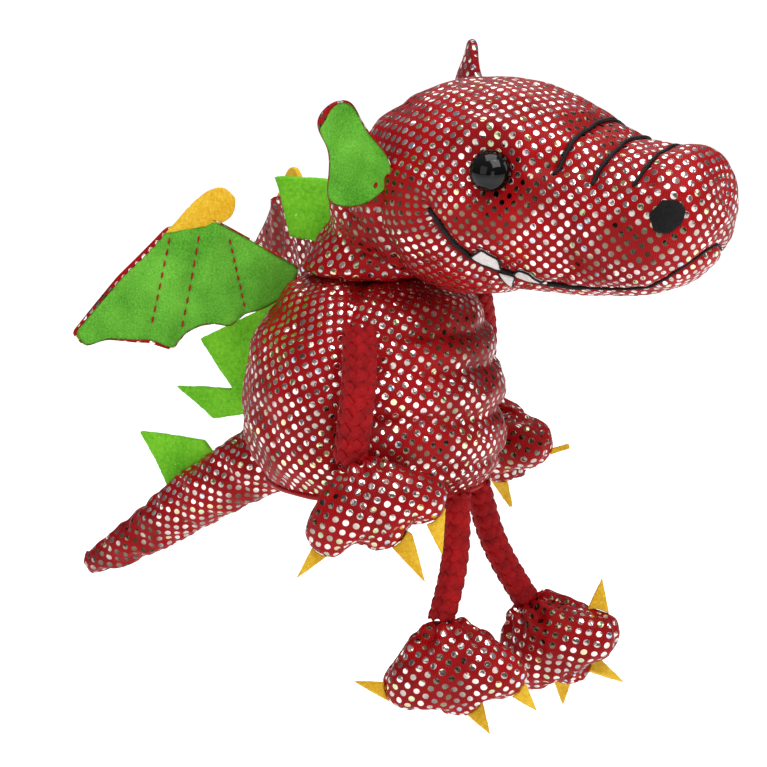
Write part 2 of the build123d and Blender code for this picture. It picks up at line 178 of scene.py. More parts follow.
def crease(co, line, *dents):
    """How deep a line dents the cloth at each point. Each dent is a depth and a width."""
    gap, _ = gap_to(co, line)
    return sum(depth * bump(gap, 0, width) for depth, width in dents)


# ---------------------------------------------------------------- meshes
def build(name, verts, faces):
    """A mesh object from points in millimetres, its faces turned outwards."""
    mesh = bpy.data.meshes.new(name)
    mesh.from_pydata([tuple(v) for v in np.asarray(verts, float) * MM], [], faces)
    bm = bmesh.new()
    bm.from_mesh(mesh)
    bmesh.ops.recalc_face_normals(bm, faces=bm.faces)
    bm.to_mesh(mesh)
    bm.free()
    mesh.polygons.foreach_set("use_smooth", [True] * len(mesh.polygons))
    obj = bpy.data.objects.new(name, mesh)
    scene.collection.objects.link(obj)
    return obj


def points(obj):
    co = np.zeros(len(obj.data.vertices) * 3)
    obj.data.vertices.foreach_get("co", co)
    return co.reshape(-1, 3) / MM


def normals(obj):
    n = np.zeros(len(obj.data.vertices) * 3)
    obj.data.vertices.foreach_get("normal", n)
    return n.reshape(-1, 3)


def put(obj, co):
    obj.data.vertices.foreach_set("co", (np.asarray(co) * MM).ravel())
    obj.data.update()


def push(obj, amount):
    """Moves each point along its normal."""
    put(obj, points(obj) + normals(obj) * np.asarray(amount)[:, None])


def rings(rows, cols):
    """Quads between closed rows of points."""
    return [
        (r * cols + c, r * cols + (c + 1) % cols, (r + 1) * cols + (c + 1) % cols, (r + 1) * cols + c)
        for r in range(rows - 1)
        for c in range(cols)
    ]


def tube(grid, first=True, last=True):
    """The points and faces of rings of points, with a pole at either end."""
    rows, cols, _ = grid.shape
    verts = list(grid.reshape(-1, 3))
    faces = rings(rows, cols)
    for close, row in ((first, 0), (last, rows - 1)):
        if close:
            pole = len(verts)
            verts.append(grid[row].mean(axis=0))
            faces += [(pole, row * cols + c, row * cols + (c + 1) % cols) for c in range(cols)]
    return np.array(verts), faces


def turned(profile, cols):
    """Rings round the Z axis from (radius, height) points."""
    turn = np.linspace(0, 2 * math.pi, cols, endpoint=False)
    x, y = np.cos(turn), np.sin(turn)
    return np.array([np.stack([r * x, r * y, np.full_like(turn, z)], axis=1) for r, z in profile])


def merged(parts):
    """Several (points, faces) as one."""
    verts, faces, start = [], [], 0
    for v, f in parts:
        verts.append(np.asarray(v))
        faces += [tuple(i + start for i in face) for face in f]
        start += len(v)
    return np.concatenate(verts), faces


def ring_of(obj, rows, cols):
    """The ring of a tube that each of its points is on. The poles count as on the last."""
    return np.minimum(np.arange(len(obj.data.vertices)) // cols, rows - 1)


def on_columns(obj, cols, cuts):
    """Whether each point of a tube is on one of some columns."""
    return np.isin(np.arange(len(obj.data.vertices)) % cols, cuts)


def panels(rows, cols, cuts):
    """A seam test for a tube of cloth: cut along some of its columns, out to its poles."""

    def seam(a, b):
        if max(a, b) >= rows * cols:
            return min(a, b) % cols in cuts
        return a % cols == b % cols and a % cols in cuts

    return seam


def cloth_uv(obj, seam, up=(0, 0, 1)):
    """Unwraps a mesh along its seams to flat patterns in millimetres, their grain turned to run along up."""
    mesh = obj.data
    mesh.uv_layers.new(name="Cloth")
    cut = set()
    for edge in mesh.edges:
        a, b = edge.vertices
        if seam(a, b):
            edge.use_seam = True
            cut.add(edge.key)
    bpy.ops.object.select_all(action="DESELECT")
    obj.select_set(True)
    bpy.context.view_layer.objects.active = obj
    bpy.ops.object.mode_set(mode="EDIT")
    bpy.ops.mesh.select_all(action="SELECT")
    bpy.ops.uv.unwrap(method="MINIMUM_STRETCH", iterations=30, margin=0.002)
    bpy.ops.object.mode_set(mode="OBJECT")
    layer = mesh.uv_layers["Cloth"]
    uv = np.zeros(len(mesh.loops) * 2)
    layer.data.foreach_get("uv", uv)
    uv = uv.reshape(-1, 2)
    by_edge = {}
    for polygon in mesh.polygons:
        for key in polygon.edge_keys:
            if key not in cut:
                by_edge.setdefault(key, []).append(polygon.index)
    root = list(range(len(mesh.polygons)))

    def find(i):
        while root[i] != i:
            root[i] = root[root[i]]
            i = root[i]
        return i

    for pair in by_edge.values():
        if len(pair) == 2:
            root[find(pair[0])] = find(pair[1])
    co = points(obj)
    islands = {}
    for polygon in mesh.polygons:
        islands.setdefault(find(polygon.index), []).append(polygon)
    for number, polygons in enumerate(islands.values()):
        loops = np.concatenate([list(p.loop_indices) for p in polygons])
        real = sum(p.area for p in polygons) / MM**2
        flat = 0.0
        for p in polygons:
            q = uv[list(p.loop_indices)]
            x, y = q[:, 0], q[:, 1]
            flat += abs(np.dot(x, np.roll(y, 1)) - np.dot(y, np.roll(x, 1))) / 2
        height = co[[mesh.loops[i].vertex_index for i in loops]] @ np.asarray(up, float)
        flat_points = uv[loops] - uv[loops].mean(axis=0)
        slope = np.linalg.lstsq(flat_points, height - height.mean(), rcond=None)[0]
        turn = math.pi / 2 - math.atan2(slope[1], slope[0])
        c, s = math.cos(turn), math.sin(turn)
        scale = math.sqrt(real / max(flat, 1e-12))
        uv[loops] = flat_points @ np.array([[c, s], [-s, c]]) * scale + number * ISLAND_STEP
    layer.data.foreach_set("uv", uv.ravel())


def flat_uv(obj, uv_of):
    """A Cloth map in millimetres from a function of the points."""
    layer = obj.data.uv_layers.new(name="Cloth")
    uv = np.asarray(uv_of(points(obj)))
    index = np.zeros(len(obj.data.loops), int)
    obj.data.loops.foreach_get("vertex_index", index)
    layer.data.foreach_set("uv", uv[index].ravel())


def puff(obj, hold, pressure=4.0, growth=0.03, frames=14, cap=1.6, bending=0.6):
    """Blows a closed cloth shape up between the points that hold keeps in place, and lets it wrinkle."""
    sim = obj.copy()
    sim.data = obj.data.copy()
    scene.collection.objects.link(sim)
    rest = points(obj)
    sim.data.vertices.foreach_set("co", (rest * MM * SIM_SCALE).ravel())
    sim.data.update()
    group = sim.vertex_groups.new(name="hold")
    for level in np.unique(np.round(hold, 2)):
        group.add(np.flatnonzero(np.round(hold, 2) == level).tolist(), float(level), "REPLACE")
    cloth = sim.modifiers.new("Cloth", "CLOTH")
    settings = cloth.settings
    settings.quality = 5
    settings.mass = 0.3
    settings.tension_stiffness = 12
    settings.compression_stiffness = 12
    settings.shear_stiffness = 4
    settings.bending_stiffness = bending
    settings.air_damping = 3
    settings.vertex_group_mass = "hold"
    settings.pin_stiffness = 1.0
    settings.shrink_min = -growth
    settings.use_pressure = True
    settings.uniform_pressure_force = pressure
    settings.effector_weights.gravity = 0
    cloth.collision_settings.use_collision = False
    cloth.point_cache.frame_start = 1
    cloth.point_cache.frame_end = frames
    for number in range(1, frames + 1):
        scene.frame_set(number)
    shaped = sim.evaluated_get(bpy.context.evaluated_depsgraph_get()).to_mesh()
    co = np.zeros(len(shaped.vertices) * 3)
    shaped.vertices.foreach_get("co", co)
    moved = co.reshape(-1, 3) / MM / SIM_SCALE - rest
    size = np.linalg.norm(moved, axis=1, keepdims=True)
    moved *= np.where(size > 1e-9, cap * np.tanh(size / cap) / np.maximum(size, 1e-9), 0)
    bpy.data.objects.remove(sim)
    scene.frame_set(1)
    put(obj, rest + moved)


def refine(obj, levels=1):
    """One or more subdivisions, applied."""
    modifier = obj.modifiers.new("Subdivide", "SUBSURF")
    modifier.levels = modifier.render_levels = levels
    old = obj.data
    mesh = bpy.data.meshes.new_from_object(obj.evaluated_get(bpy.context.evaluated_depsgraph_get()))
    obj.modifiers.clear()
    obj.data = mesh
    bpy.data.meshes.remove(old)
    mesh.name = obj.name
    mesh.polygons.foreach_set("use_smooth", [True] * len(mesh.polygons))


def felt_copy(name, nodes, voxel=0.28, fuzz=0.05, bend=None):
    """A soft-edged copy of flat CAD felt pieces, with a slightly uneven face."""
    bm = bmesh.new()
    for node in nodes:
        bm.from_mesh(NODES[node].data)
    bmesh.ops.remove_doubles(bm, verts=bm.verts, dist=1e-6)
    mesh = bpy.data.meshes.new(name)
    bm.to_mesh(mesh)
    bm.free()
    obj = bpy.data.objects.new(name, mesh)
    scene.collection.objects.link(obj)
    remesh = obj.modifiers.new("Remesh", "REMESH")
    remesh.mode = "VOXEL"
    remesh.voxel_size = voxel * MM
    smooth = obj.modifiers.new("Soften", "SMOOTH")
    smooth.factor = 0.5
    smooth.iterations = 3
    shaped = bpy.data.meshes.new_from_object(obj.evaluated_get(bpy.context.evaluated_depsgraph_get()))
    obj.modifiers.clear()
    obj.data = shaped
    shaped.name = name
    shaped.materials.clear()
    shaped.polygons.foreach_set("use_smooth", [True] * len(shaped.polygons))
    if bend is not None:
        co = points(obj)
        put(obj, co + bend(co))
    push(obj, fuzz * ripple(points(obj), 0.9, 3) + fuzz * 0.6 * ripple(points(obj), 0.35, 5))
    return obj


def along(path):
    """The direction, and two square directions that turn as little as may be, at each point of a path."""
    path = np.asarray(path, float)
    tangent = unit(np.gradient(path, axis=0))
    side = np.zeros_like(path)
    first = np.array([0.0, 0.0, 1.0]) if abs(tangent[0][2]) < 0.9 else np.array([1.0, 0.0, 0.0])
    side[0] = unit(first - tangent[0] * (first @ tangent[0]))
    for i in range(1, len(path)):
        s = side[i - 1] - tangent[i] * (side[i - 1] @ tangent[i])
        side[i] = unit(s)
    return tangent, side, np.cross(tangent, side)


def sweep(path, radius, sides=8, flat=1.0, face=None):
    """A tube along a path, closed at both ends. face gives the flat way's direction where flat isn't 1."""
    path = np.asarray(path, float)
    tangent, side, other = along(path)
    if face is not None:
        side = unit(face - tangent * np.sum(face * tangent, axis=1, keepdims=True))
        other = np.cross(tangent, side)
    radius = np.broadcast_to(np.asarray(radius, float), (len(path),))
    turn = np.linspace(0, 2 * math.pi, sides, endpoint=False)
    grid = (
        path[:, None]
        + side[:, None] * (np.cos(turn) * flat)[None, :, None] * radius[:, None, None]
        + other[:, None] * np.sin(turn)[None, :, None] * radius[:, None, None]
    )
    return tube(grid)


def thread(path, radius, plies=3, pitch=1.6, sides=7):
    """A twisted thread: plies that wind round one another along a path."""
    path = np.asarray(path, float)
    length = np.sum(np.linalg.norm(np.diff(path, axis=0), axis=1))
    path = through(path, max(8, int(length / 0.16)))
    run = np.linspace(0, length, len(path))
    _, side, other = along(path)
    parts = []
    for ply in range(plies):
        turn = 2 * math.pi * (run / pitch + ply / plies)
        offset = (side * np.cos(turn)[:, None] + other * np.sin(turn)[:, None]) * radius * 0.42
        taper = np.clip(np.minimum(run, length - run) / (radius * 1.2), 0.35, 1)
        parts.append(sweep(path + offset, radius * 0.62 * taper, sides))
    return merged(parts)


def caster(obj):
    """Casts rays at a shaped mesh, in millimetres: the point and the normal that a ray meets."""
    tree = BVHTree.FromObject(obj, bpy.context.evaluated_depsgraph_get())

    def cast(origin, direction):
        hit, normal, _, _ = tree.ray_cast(Vector(np.asarray(origin, float) * MM), Vector(direction))
        return (None, None) if hit is None else (np.array(hit) / MM, np.array(normal))

    return cast


# ---------------------------------------------------------------- materials
def node(tree, kind, inputs=None, **settings):
    """A shader node, with some of its sockets set or linked."""
    made = tree.nodes.new(kind)
    for key, value in settings.items():
        setattr(made, key, value)
    for key, value in (inputs or {}).items():
        if isinstance(value, bpy.types.NodeSocket):
            tree.links.new(value, made.inputs[key])
        else:
            made.inputs[key].default_value = value
    return made


def maths(tree, operation, *values):
    return node(tree, "ShaderNodeMath", dict(enumerate(values)), operation=operation).outputs[0]


def vector(tree, operation, *values):
    made = node(tree, "ShaderNodeVectorMath", dict(enumerate(values)), operation=operation)
    return made.outputs["Value" if operation in ("LENGTH", "DISTANCE", "DOT_PRODUCT") else "Vector"]


def mix(tree, share, a, b):
    made = node(tree, "ShaderNodeMix", data_type="RGBA")
    for socket, value in ((made.inputs[0], share), (made.inputs[6], a), (made.inputs[7], b)):
        if isinstance(value, bpy.types.NodeSocket):
            tree.links.new(value, socket)
        else:
            socket.default_value = value
    return made.outputs[2]


def remap(tree, value, low, high, new_low=0.0, new_high=1.0):
    return node(tree, "ShaderNodeMapRange", {0: value, 1: low, 2: high, 3: new_low, 4: new_high}).outputs[0]


def cloud(tree, where, scale, detail=3.0, rough=0.5):
    return node(
        tree, "ShaderNodeTexNoise", {"Vector": where, "Scale": scale, "Detail": detail, "Roughness": rough}
    ).outputs["Fac"]


def material(name):
    made = bpy.data.materials.new(name)
    made.use_nodes = True
    tree = made.node_tree
    return made, tree, tree.nodes["Principled BSDF"]


def connect(tree, shader, **sockets):
    for key, value in sockets.items():
        socket = shader.inputs[key.replace("_", " ")]
        if isinstance(value, bpy.types.NodeSocket):
            tree.links.new(value, socket)
        else:
            socket.default_value = value


def rgb(*screen):
    """A colour given as it looks on a screen, from 0 to 255."""
    return tuple(c / 255 / 12.92 if c <= 10 else ((c / 255 + 0.055) / 1.055) ** 2.4 for c in screen) + (1.0,)


def place_in(tree):
    return node(tree, "ShaderNodeTexCoord").outputs["Object"]


def cloth_map(tree):
    return node(tree, "ShaderNodeUVMap", uv_map="Cloth").outputs[0]


def raised(tree, strength, depth, height):
    """A bump whose depth is in millimetres."""
    return node(tree, "ShaderNodeBump", {"Strength": strength, "Distance": depth * MM, "Height": height})


DOT_PITCH = 1.9  # millimetres
DOT_R = 0.58
FOIL_TINTS = [  # where each tint's share of the dots starts
    (0.0, rgb(248, 236, 230)),
    (0.56, rgb(196, 182, 174)),
    (0.84, rgb(236, 220, 178)),
    (0.91, rgb(206, 216, 174)),
    (0.95, rgb(196, 208, 222)),
    (0.98, rgb(226, 200, 206)),
]


def knit_height(tree, flat):
    """The fine ribs of the knitted cloth under the dots, about 0.4 mm apart."""
    parts = node(tree, "ShaderNodeSeparateXYZ", {0: flat})
    across = maths(tree, "SINE", maths(tree, "MULTIPLY", parts.outputs[0], 2 * math.pi / 0.42))
    down = maths(tree, "SINE", maths(tree, "MULTIPLY", parts.outputs[1], 2 * math.pi / 0.5))
    return maths(tree, "MULTIPLY", maths(tree, "ADD", across, maths(tree, "MULTIPLY", across, down)), 0.25)


def white_noise(tree, where):
    return node(tree, "ShaderNodeTexWhiteNoise", {"Vector": where}, noise_dimensions="3D")


def scaled(tree, value, share):
    """A vector with its x and y scaled, and its z set to nothing."""
    return vector(tree, "MULTIPLY", value, (share, share, 0.0))


def red_cloth(name, dots):
    """Shiny red knit. With dots, round foil dots lie on it in a square lattice turned by 45 degrees."""
    made, tree, shader = material(name)
    flat, place = cloth_map(tree), place_in(tree)
    red = mix(tree, remap(tree, cloud(tree, place, 90, 3), 0.3, 0.7), rgb(146, 2, 7), rgb(202, 6, 14))
    ribs = knit_height(tree, flat)
    # painted shade: the knit's grooves are painted darker red, following the rib height
    red = mix(tree, remap(tree, ribs, -0.4, 0.4), rgb(120, 0, 5), red)
    ground = raised(tree, 0.5, 0.12, ribs)
    connect(tree, shader, Specular_IOR_Level=0.14)
    if not dots:
        connect(tree, shader, Base_Color=red, Roughness=0.42, Normal=ground.outputs[0])
        return made
    lattice = {"Vector": flat, "Rotation": (0, 0, math.pi / 4), "Scale": (1 / DOT_PITCH, 1 / DOT_PITCH, 1)}
    turned_flat = node(tree, "ShaderNodeMapping", lattice).outputs[0]
    cell = vector(tree, "FLOOR", turned_flat)
    in_cell = vector(tree, "FRACTION", turned_flat)
    local = scaled(tree, vector(tree, "SUBTRACT", in_cell, (0.5, 0.5, 0.0)), 1.0)
    chance = white_noise(tree, cell)
    other = white_noise(tree, vector(tree, "ADD", cell, (17.3, 5.1, 2.2)))
    size = remap(tree, chance.outputs["Value"], 0.0, 1.0, DOT_R * 0.94 / DOT_PITCH, DOT_R * 1.05 / DOT_PITCH)
    mask = remap(tree, maths(tree, "SUBTRACT", size, vector(tree, "LENGTH", local)), -0.012, 0.012)
    tint = node(tree, "ShaderNodeValToRGB", {0: other.outputs["Value"]})
    ramp = tint.color_ramp
    ramp.interpolation = "CONSTANT"
    while len(ramp.elements) < len(FOIL_TINTS):
        ramp.elements.new(1.0)
    for element, (at, colour) in zip(ramp.elements, FOIL_TINTS):
        element.position = at
        element.color = colour
    # painted reflection: in broad patches the foil dots are painted dark brown-grey, as if they mirrored something
    # dark
    dark_reflection_patches = remap(tree, cloud(tree, place, 62, 2), 0.5, 0.6)
    dark_reflection_colour = mix(tree, chance.outputs["Value"], rgb(58, 44, 34), rgb(128, 112, 92))
    foil = mix(tree, dark_reflection_patches, tint.outputs[0], dark_reflection_colour)
    # each dot leans its own way, is a little domed, and is crinkled
    half = (0.5, 0.5, 0.5)
    crinkle = node(tree, "ShaderNodeTexNoise", {"Vector": turned_flat, "Scale": 3.0, "Detail": 2.0})
    lean = scaled(tree, vector(tree, "SUBTRACT", chance.outputs["Color"], half), 0.22)
    lean = vector(tree, "ADD", lean, scaled(tree, local, 0.35))
    crinkled = vector(tree, "SUBTRACT", crinkle.outputs["Color"], half)
    lean = vector(tree, "ADD", lean, scaled(tree, crinkled, 0.3))
    on_dot = node(tree, "ShaderNodeCombineXYZ", {0: mask, 1: mask, 2: mask}).outputs[0]
    lean = vector(tree, "ADD", vector(tree, "MULTIPLY", lean, on_dot), (0.5, 0.5, 1.0))
    facet = node(tree, "ShaderNodeNormalMap", {"Color": lean, "Strength": 1.0}, uv_map="Cloth")
    tree.links.new(facet.outputs[0], ground.inputs["Normal"])
    bare_ribs = maths(tree, "MULTIPLY", ribs, maths(tree, "SUBTRACT", 1.0, mask))
    tree.links.new(maths(tree, "ADD", bare_ribs, maths(tree, "MULTIPLY", mask, 0.5)), ground.inputs["Height"])
    roughness = remap(tree, mask, 0.0, 1.0, 0.48, 0.14)
    colour = mix(tree, mask, red, foil)
    connect(tree, shader, Base_Color=colour, Metallic=mask, Roughness=roughness, Normal=ground.outputs[0])
    return made


def fibre_cloth(name, dark, light, grain, depth, sheen, fleck=None):
    """Felt or velour: short fibres with a mottled colour."""
    made, tree, shader = material(name)
    place = place_in(tree)
    fine = cloud(tree, place, 1000 / grain, 4, 0.7)
    broad = cloud(tree, place, 120, 2)
    mottle = maths(tree, "ADD", maths(tree, "MULTIPLY", fine, 0.7), maths(tree, "MULTIPLY", broad, 0.5))
    colour = mix(tree, remap(tree, mottle, 0.42, 0.78), dark, light)
    if fleck is not None:
        fibres = {"Vector": place, "Scale": 2600.0, "Detail": 2.0, "Distortion": 1.5}
        strands = node(tree, "ShaderNodeTexNoise", fibres).outputs["Fac"]
        colour = mix(tree, remap(tree, strands, 0.62, 0.72), colour, fleck)
    connect(tree, shader, Base_Color=colour, Roughness=0.9, Normal=raised(tree, 0.7, depth, fine).outputs[0])
    connect(tree, shader, Sheen_Weight=sheen, Sheen_Roughness=0.35, Sheen_Tint=light, Specular_IOR_Level=0.2)
    return made


def strand_material(name, dark, light, rough):
    """Spun yarn: fine lines along the strand."""
    made, tree, shader = material(name)
    grain = node(tree, "ShaderNodeMapping", {"Vector": cloth_map(tree), "Scale": (5.0, 1.1, 1.0)}).outputs[0]
    lines = cloud(tree, grain, 1.6, 3, 0.6)
    broad = cloud(tree, place_in(tree), 400, 2)
    share = maths(tree, "ADD", maths(tree, "MULTIPLY", lines, 0.7), maths(tree, "MULTIPLY", broad, 0.3))
    colour = mix(tree, remap(tree, share, 0.36, 0.66), dark, light)
    rise = raised(tree, 0.6, 0.12, lines).outputs[0]
    connect(tree, shader, Base_Color=colour, Roughness=rough, Normal=rise, Specular_IOR_Level=0.2)
    return made


def gloss_material():
    made, tree, shader = material("eye_gloss")
    smear = cloud(tree, place_in(tree), 300, 3)
    colour = mix(tree, smear, rgb(2, 2, 2), rgb(5, 4, 5))
    roughness = remap(tree, smear, 0.3, 0.7, 0.04, 0.09)
    rise = raised(tree, 0.06, 0.1, smear).outputs[0]
    connect(tree, shader, Base_Color=colour, Roughness=roughness, Normal=rise, Specular_IOR_Level=0.35)
    return made


def plastic_material():
    made, tree, shader = material("washer_plastic")
    grain = cloud(tree, place_in(tree), 900, 3)
    colour = mix(tree, grain, rgb(214, 212, 206), rgb(232, 231, 226))
    connect(tree, shader, Base_Color=colour, Roughness=0.45, Normal=raised(tree, 0.2, 0.1, grain).outputs[0])
    return made


DOTTED = red_cloth("dotted_cloth", True)
PLAIN = red_cloth("plain_cloth", False)
VELOUR = fibre_cloth("velour", rgb(62, 138, 26), rgb(122, 204, 68), 0.35, 0.16, 0.3)
GREEN_FELT = fibre_cloth("green_felt", rgb(84, 172, 24), rgb(132, 218, 48), 0.8, 0.14, 0.15, rgb(160, 230, 84))
YELLOW_FELT = fibre_cloth(
    "yellow_felt", rgb(214, 158, 18), rgb(246, 206, 62), 0.7, 0.14, 0.2, rgb(252, 222, 110)
)
WHITE_FELT = fibre_cloth("white_felt", rgb(206, 198, 196), rgb(238, 234, 230), 0.6, 0.1, 0.15)
BLACK_FELT = fibre_cloth("black_felt", rgb(10, 9, 10), rgb(34, 32, 33), 0.5, 0.1, 0.15)
BLACK_THREAD = strand_material("black_thread", rgb(8, 8, 9), rgb(40, 38, 40), 0.5)
RED_THREAD = strand_material("red_thread", rgb(120, 10, 14), rgb(190, 40, 40), 0.6)
CORD = strand_material("cord_yarn", rgb(104, 1, 6), rgb(190, 10, 18), 0.7)
EYE_GLOSS = gloss_material()
WASHER = plastic_material()


def finish_piece(obj, look, body, stands_for=()):
    """Gives a piece its material and hides the CAD nodes that it stands for. A piece with one CAD body is hung on
    that body; a piece between two bodies is hung on none.
    """
    if look is not None:
        obj.data.materials.clear()
        obj.data.materials.append(look)
    if isinstance(body, str):
        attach(obj, body)
    else:
        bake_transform(obj)
    if stands_for:
        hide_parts(*stands_for)
    return obj


# ---------------------------------------------------------------- head
head_low, head_high = box("head_skin", "jaw_skin")
head_size = head_high - head_low


def on_head(share_y, share_z):
    """A place along (0 at the back, 1 at the nose) and up the head's box."""
    return head_high[1] - share_y * head_size[1], head_low[2] + share_z * head_size[2]


# back to nose: how far along, centre height, half width, half height (as shares of the box), and squareness
HEAD_RINGS = [
    (0.000, 0.523, 0.16, 0.17, 2.0),
    (0.018, 0.499, 0.409, 0.410, 2.0),
    (0.059, 0.475, 0.672, 0.649, 2.0),
    (0.130, 0.477, 0.863, 0.811, 2.05),
    (0.227, 0.492, 0.975, 0.944, 2.1),
    (0.330, 0.499, 0.985, 0.990, 2.1),
    (0.439, 0.511, 0.920, 0.950, 2.15),
    (0.549, 0.487, 0.805, 0.868, 2.25),
    (0.652, 0.444, 0.722, 0.770, 2.35),
    (0.755, 0.418, 0.678, 0.692, 2.45),
    (0.845, 0.434, 0.640, 0.640, 2.35),
    (0.910, 0.458, 0.560, 0.565, 2.25),
    (0.950, 0.472, 0.430, 0.440, 2.15),
    (0.968, 0.472, 0.260, 0.270, 2.1),
    (0.974, 0.472, 0.100, 0.105, 2.0),
]
HEAD_COLS, HEAD_ROWS = 92, 66
along_head, centres, half_widths, half_heights, squareness = np.array(HEAD_RINGS).T
half_widths, half_heights = half_widths * head_size[0] / 2, half_heights * head_size[2] / 2
real = np.stack([*on_head(along_head, centres), half_widths, half_heights, squareness], axis=1)
walk = walked(real[:, [0, 3]])
head_rows = spline(walk, real, np.linspace(0, walk[-1], HEAD_ROWS))
angle = np.linspace(0, 2 * math.pi, HEAD_COLS, endpoint=False)  # from underneath, up the puppet's right side


def head_ring(y, centre, half_width, half_height, square):
    s, c = np.sin(angle), np.cos(angle)
    x = -half_width * np.sign(s) * np.abs(s) ** (2 / square)
    z = centre - half_height * np.sign(c) * np.abs(c) ** (2 / square)
    return np.stack([x, np.full_like(x, y), z], axis=1)


head_grid = np.array([head_ring(*row) for row in head_rows])
head = build("head_cloth", *tube(head_grid))

# the mouth runs up from its corner on the cheek and along the jaw to the front of the nose
MOUTH = [
    (0.307, 0.463),
    (0.331, 0.391),
    (0.359, 0.310),
    (0.395, 0.235),
    (0.423, 0.194),
    (0.454, 0.170),
    (0.486, 0.144),
    (0.519, 0.118),
    (0.555, 0.104),
    (0.620, 0.098),
    (0.700, 0.104),
    (0.780, 0.116),
    (0.850, 0.138),
    (0.910, 0.182),
    (0.955, 0.246),
    (1.000, 0.330),
]
mouth_yz = np.array([on_head(*p) for p in MOUTH])


def mouth_height(y):
    return np.interp(-np.asarray(y), -mouth_yz[:, 0], mouth_yz[:, 1])


mouth_cols = {}
for r in range(HEAD_ROWS):
    if head_rows[r][0] < mouth_yz[0][0]:
        off_mouth = np.abs(head_grid[r, : HEAD_COLS // 2, 2] - mouth_height(head_rows[r][0]))
        mouth_cols[r] = int(np.argmin(off_mouth))


def head_seam(a, b):
    """The cloth is cut along the mouth, over the top of the head, and down the back under the jaw."""
    top, first = HEAD_COLS // 2, min(mouth_cols)
    if max(a, b) >= HEAD_COLS * HEAD_ROWS:
        return min(a, b) % HEAD_COLS in (0, top)
    (ra, ca), (rb, cb) = divmod(a, HEAD_COLS), divmod(b, HEAD_COLS)
    chin = min((r for r, c in mouth_cols.items() if c == 0), default=HEAD_ROWS)
    if ca == cb and (ca == top or (ca == 0 and (max(ra, rb) <= first or min(ra, rb) >= chin))):
        return True
    if ra > rb:
        (ra, ca), (rb, cb) = (rb, cb), (ra, ca)
    for mirror in (1, -1):
        mine, yours = (ca * mirror) % HEAD_COLS, (cb * mirror) % HEAD_COLS
        if ra != rb:
            if ra in mouth_cols and rb in mouth_cols and mine == yours == mouth_cols[ra]:
                return True
        elif ra in mouth_cols and ra - 1 in mouth_cols:
            low, high = sorted((mouth_cols[ra - 1], mouth_cols[ra]))
            if low <= min(mine, yours) and max(mine, yours) <= high:
                return True
    return False


cloth_uv(head, head_seam, up=(0, 0, 1))
co = points(head)
cast_head = caster(head)


def mouth_points(cast, side, count=90):
    """The mouth line on the head's surface, from its corner to the middle of the nose."""
    found = []
    snout_y = head_low[1] + 14.0
    for y in np.linspace(mouth_yz[0][0], snout_y, count * 2 // 3):
        hit, normal = cast((side * 60, y, mouth_height(y)), (-side, 0, 0))
        found.append((hit, normal))
    for turn in np.linspace(0, math.pi / 2, count // 3 + 1)[1:]:
        z = mouth_height(snout_y - 13.5 * math.sin(turn))
        direction = np.array([-side * math.cos(turn), math.sin(turn), 0])
        hit, normal = cast(np.array([0, snout_y, z]) - direction * 60, direction)
        found.append((hit, normal))
    return np.array([h for h, _ in found]), np.array([n for _, n in found])


mouth_right, _ = mouth_points(cast_head, -1)
mouth_left, _ = mouth_points(cast_head, 1)
mouth_all = np.concatenate([mouth_right, mouth_left[::-1][1:]])

eye_at = {side: middle(f"eye_{side}") for side in ("right", "left")}
eye_way = {side: unit(middle(f"eye_{side}") - middle(f"eye_washer_{side}")) for side in ("right", "left")}
nose_at = {side: middle(f"nostril_{side}") for side in ("right", "left")}
gap_mouth, _ = gap_to(co, mouth_all)
gap_eye = np.min([np.linalg.norm(co - eye_at[s], axis=1) for s in eye_at], axis=0)
neck_end = step(co[:, 1], -14, -4) * step(-co[:, 2], -58, -48)
near_mouth, near_eye = 0.9 * bump(gap_mouth, 0, 1.4), 0.9 * step(-gap_eye, -6.5, -4.5)
hold = np.maximum.reduce([near_mouth, near_eye, neck_end, np.full(len(co), 0.12)])
puff(head, np.clip(hold, 0, 1), pressure=3.0, growth=0.035, cap=1.3)
refine(head, 2)

co = points(head)
gap_mouth, where = gap_to(co, mouth_all)
edge_of_mouth = np.minimum(where, 1 - where) * 2
at_smile = 1 - step(edge_of_mouth, 0.35, 0.6)
amount = -0.75 * bump(gap_mouth, 0, 0.75) - 0.5 * bump(gap_mouth, 0, 2.2) * at_smile
# folds (out) and creases (in) of the face: what they are placed from, depth, width, how many points they are
# drawn with, and the points they pass through, with x away from the middle of the head
FACE_FOLDS = [
    (eye_at, 1.0, 2.6, 24, [(-2, 9, 5.2), (-2.5, 2, 8.2), (-4.0, -6, 8.0), (-6.0, -13, 6.0)]),
    (eye_at, -0.7, 1.5, 16, [(-1.5, -7.5, 1.0), (-3.0, -13, 2.2), (-4.2, -19, 1.4)]),
    (eye_at, -0.55, 1.6, 16, [(-0.5, -1.5, -7.5), (-2.5, -8, -8.5), (-4.5, -16, -8.0)]),
    (nose_at, 0.8, 1.4, 16, [(-0.6, 4.5, 3.0), (-0.6, 0.8, 4.4), (-2.6, -3.4, 4.0)]),
    (nose_at, -0.5, 1.2, 16, [(-0.6, 4.5, 5.4), (-0.6, 0.8, 6.8), (-2.6, -3.4, 6.4)]),
]
for side, at in eye_at.items():
    sign = -1 if side == "right" else 1
    away = co - at
    across = away - (away @ eye_way[side])[:, None] * eye_way[side]
    spread = np.linalg.norm(across, axis=1)
    on_side = (co[:, 0] * sign > 2).astype(float)
    amount -= on_side * 1.5 * bump(spread, 0, 5.4)
    amount += on_side * 0.85 * bump(spread, 7.8, 2.1) * (0.35 + 0.65 * step(across[:, 2], -2, 4))
    amount -= 0.9 * bump(np.linalg.norm((co - nose_at[side]) * [1, 1, 1.2], axis=1), 0, 3.0)
    for places, depth, width, count, passes in FACE_FOLDS:
        amount += crease(co, through(places[side] + np.array(passes) * [sign, 1, 1], count), (depth, width))
stitch_low, stitch_high = box("snout_stitches")
STITCHES = ((0.03, 1.02), (0.47, 1.0), (0.97, 0.96))
stitch_lines = []
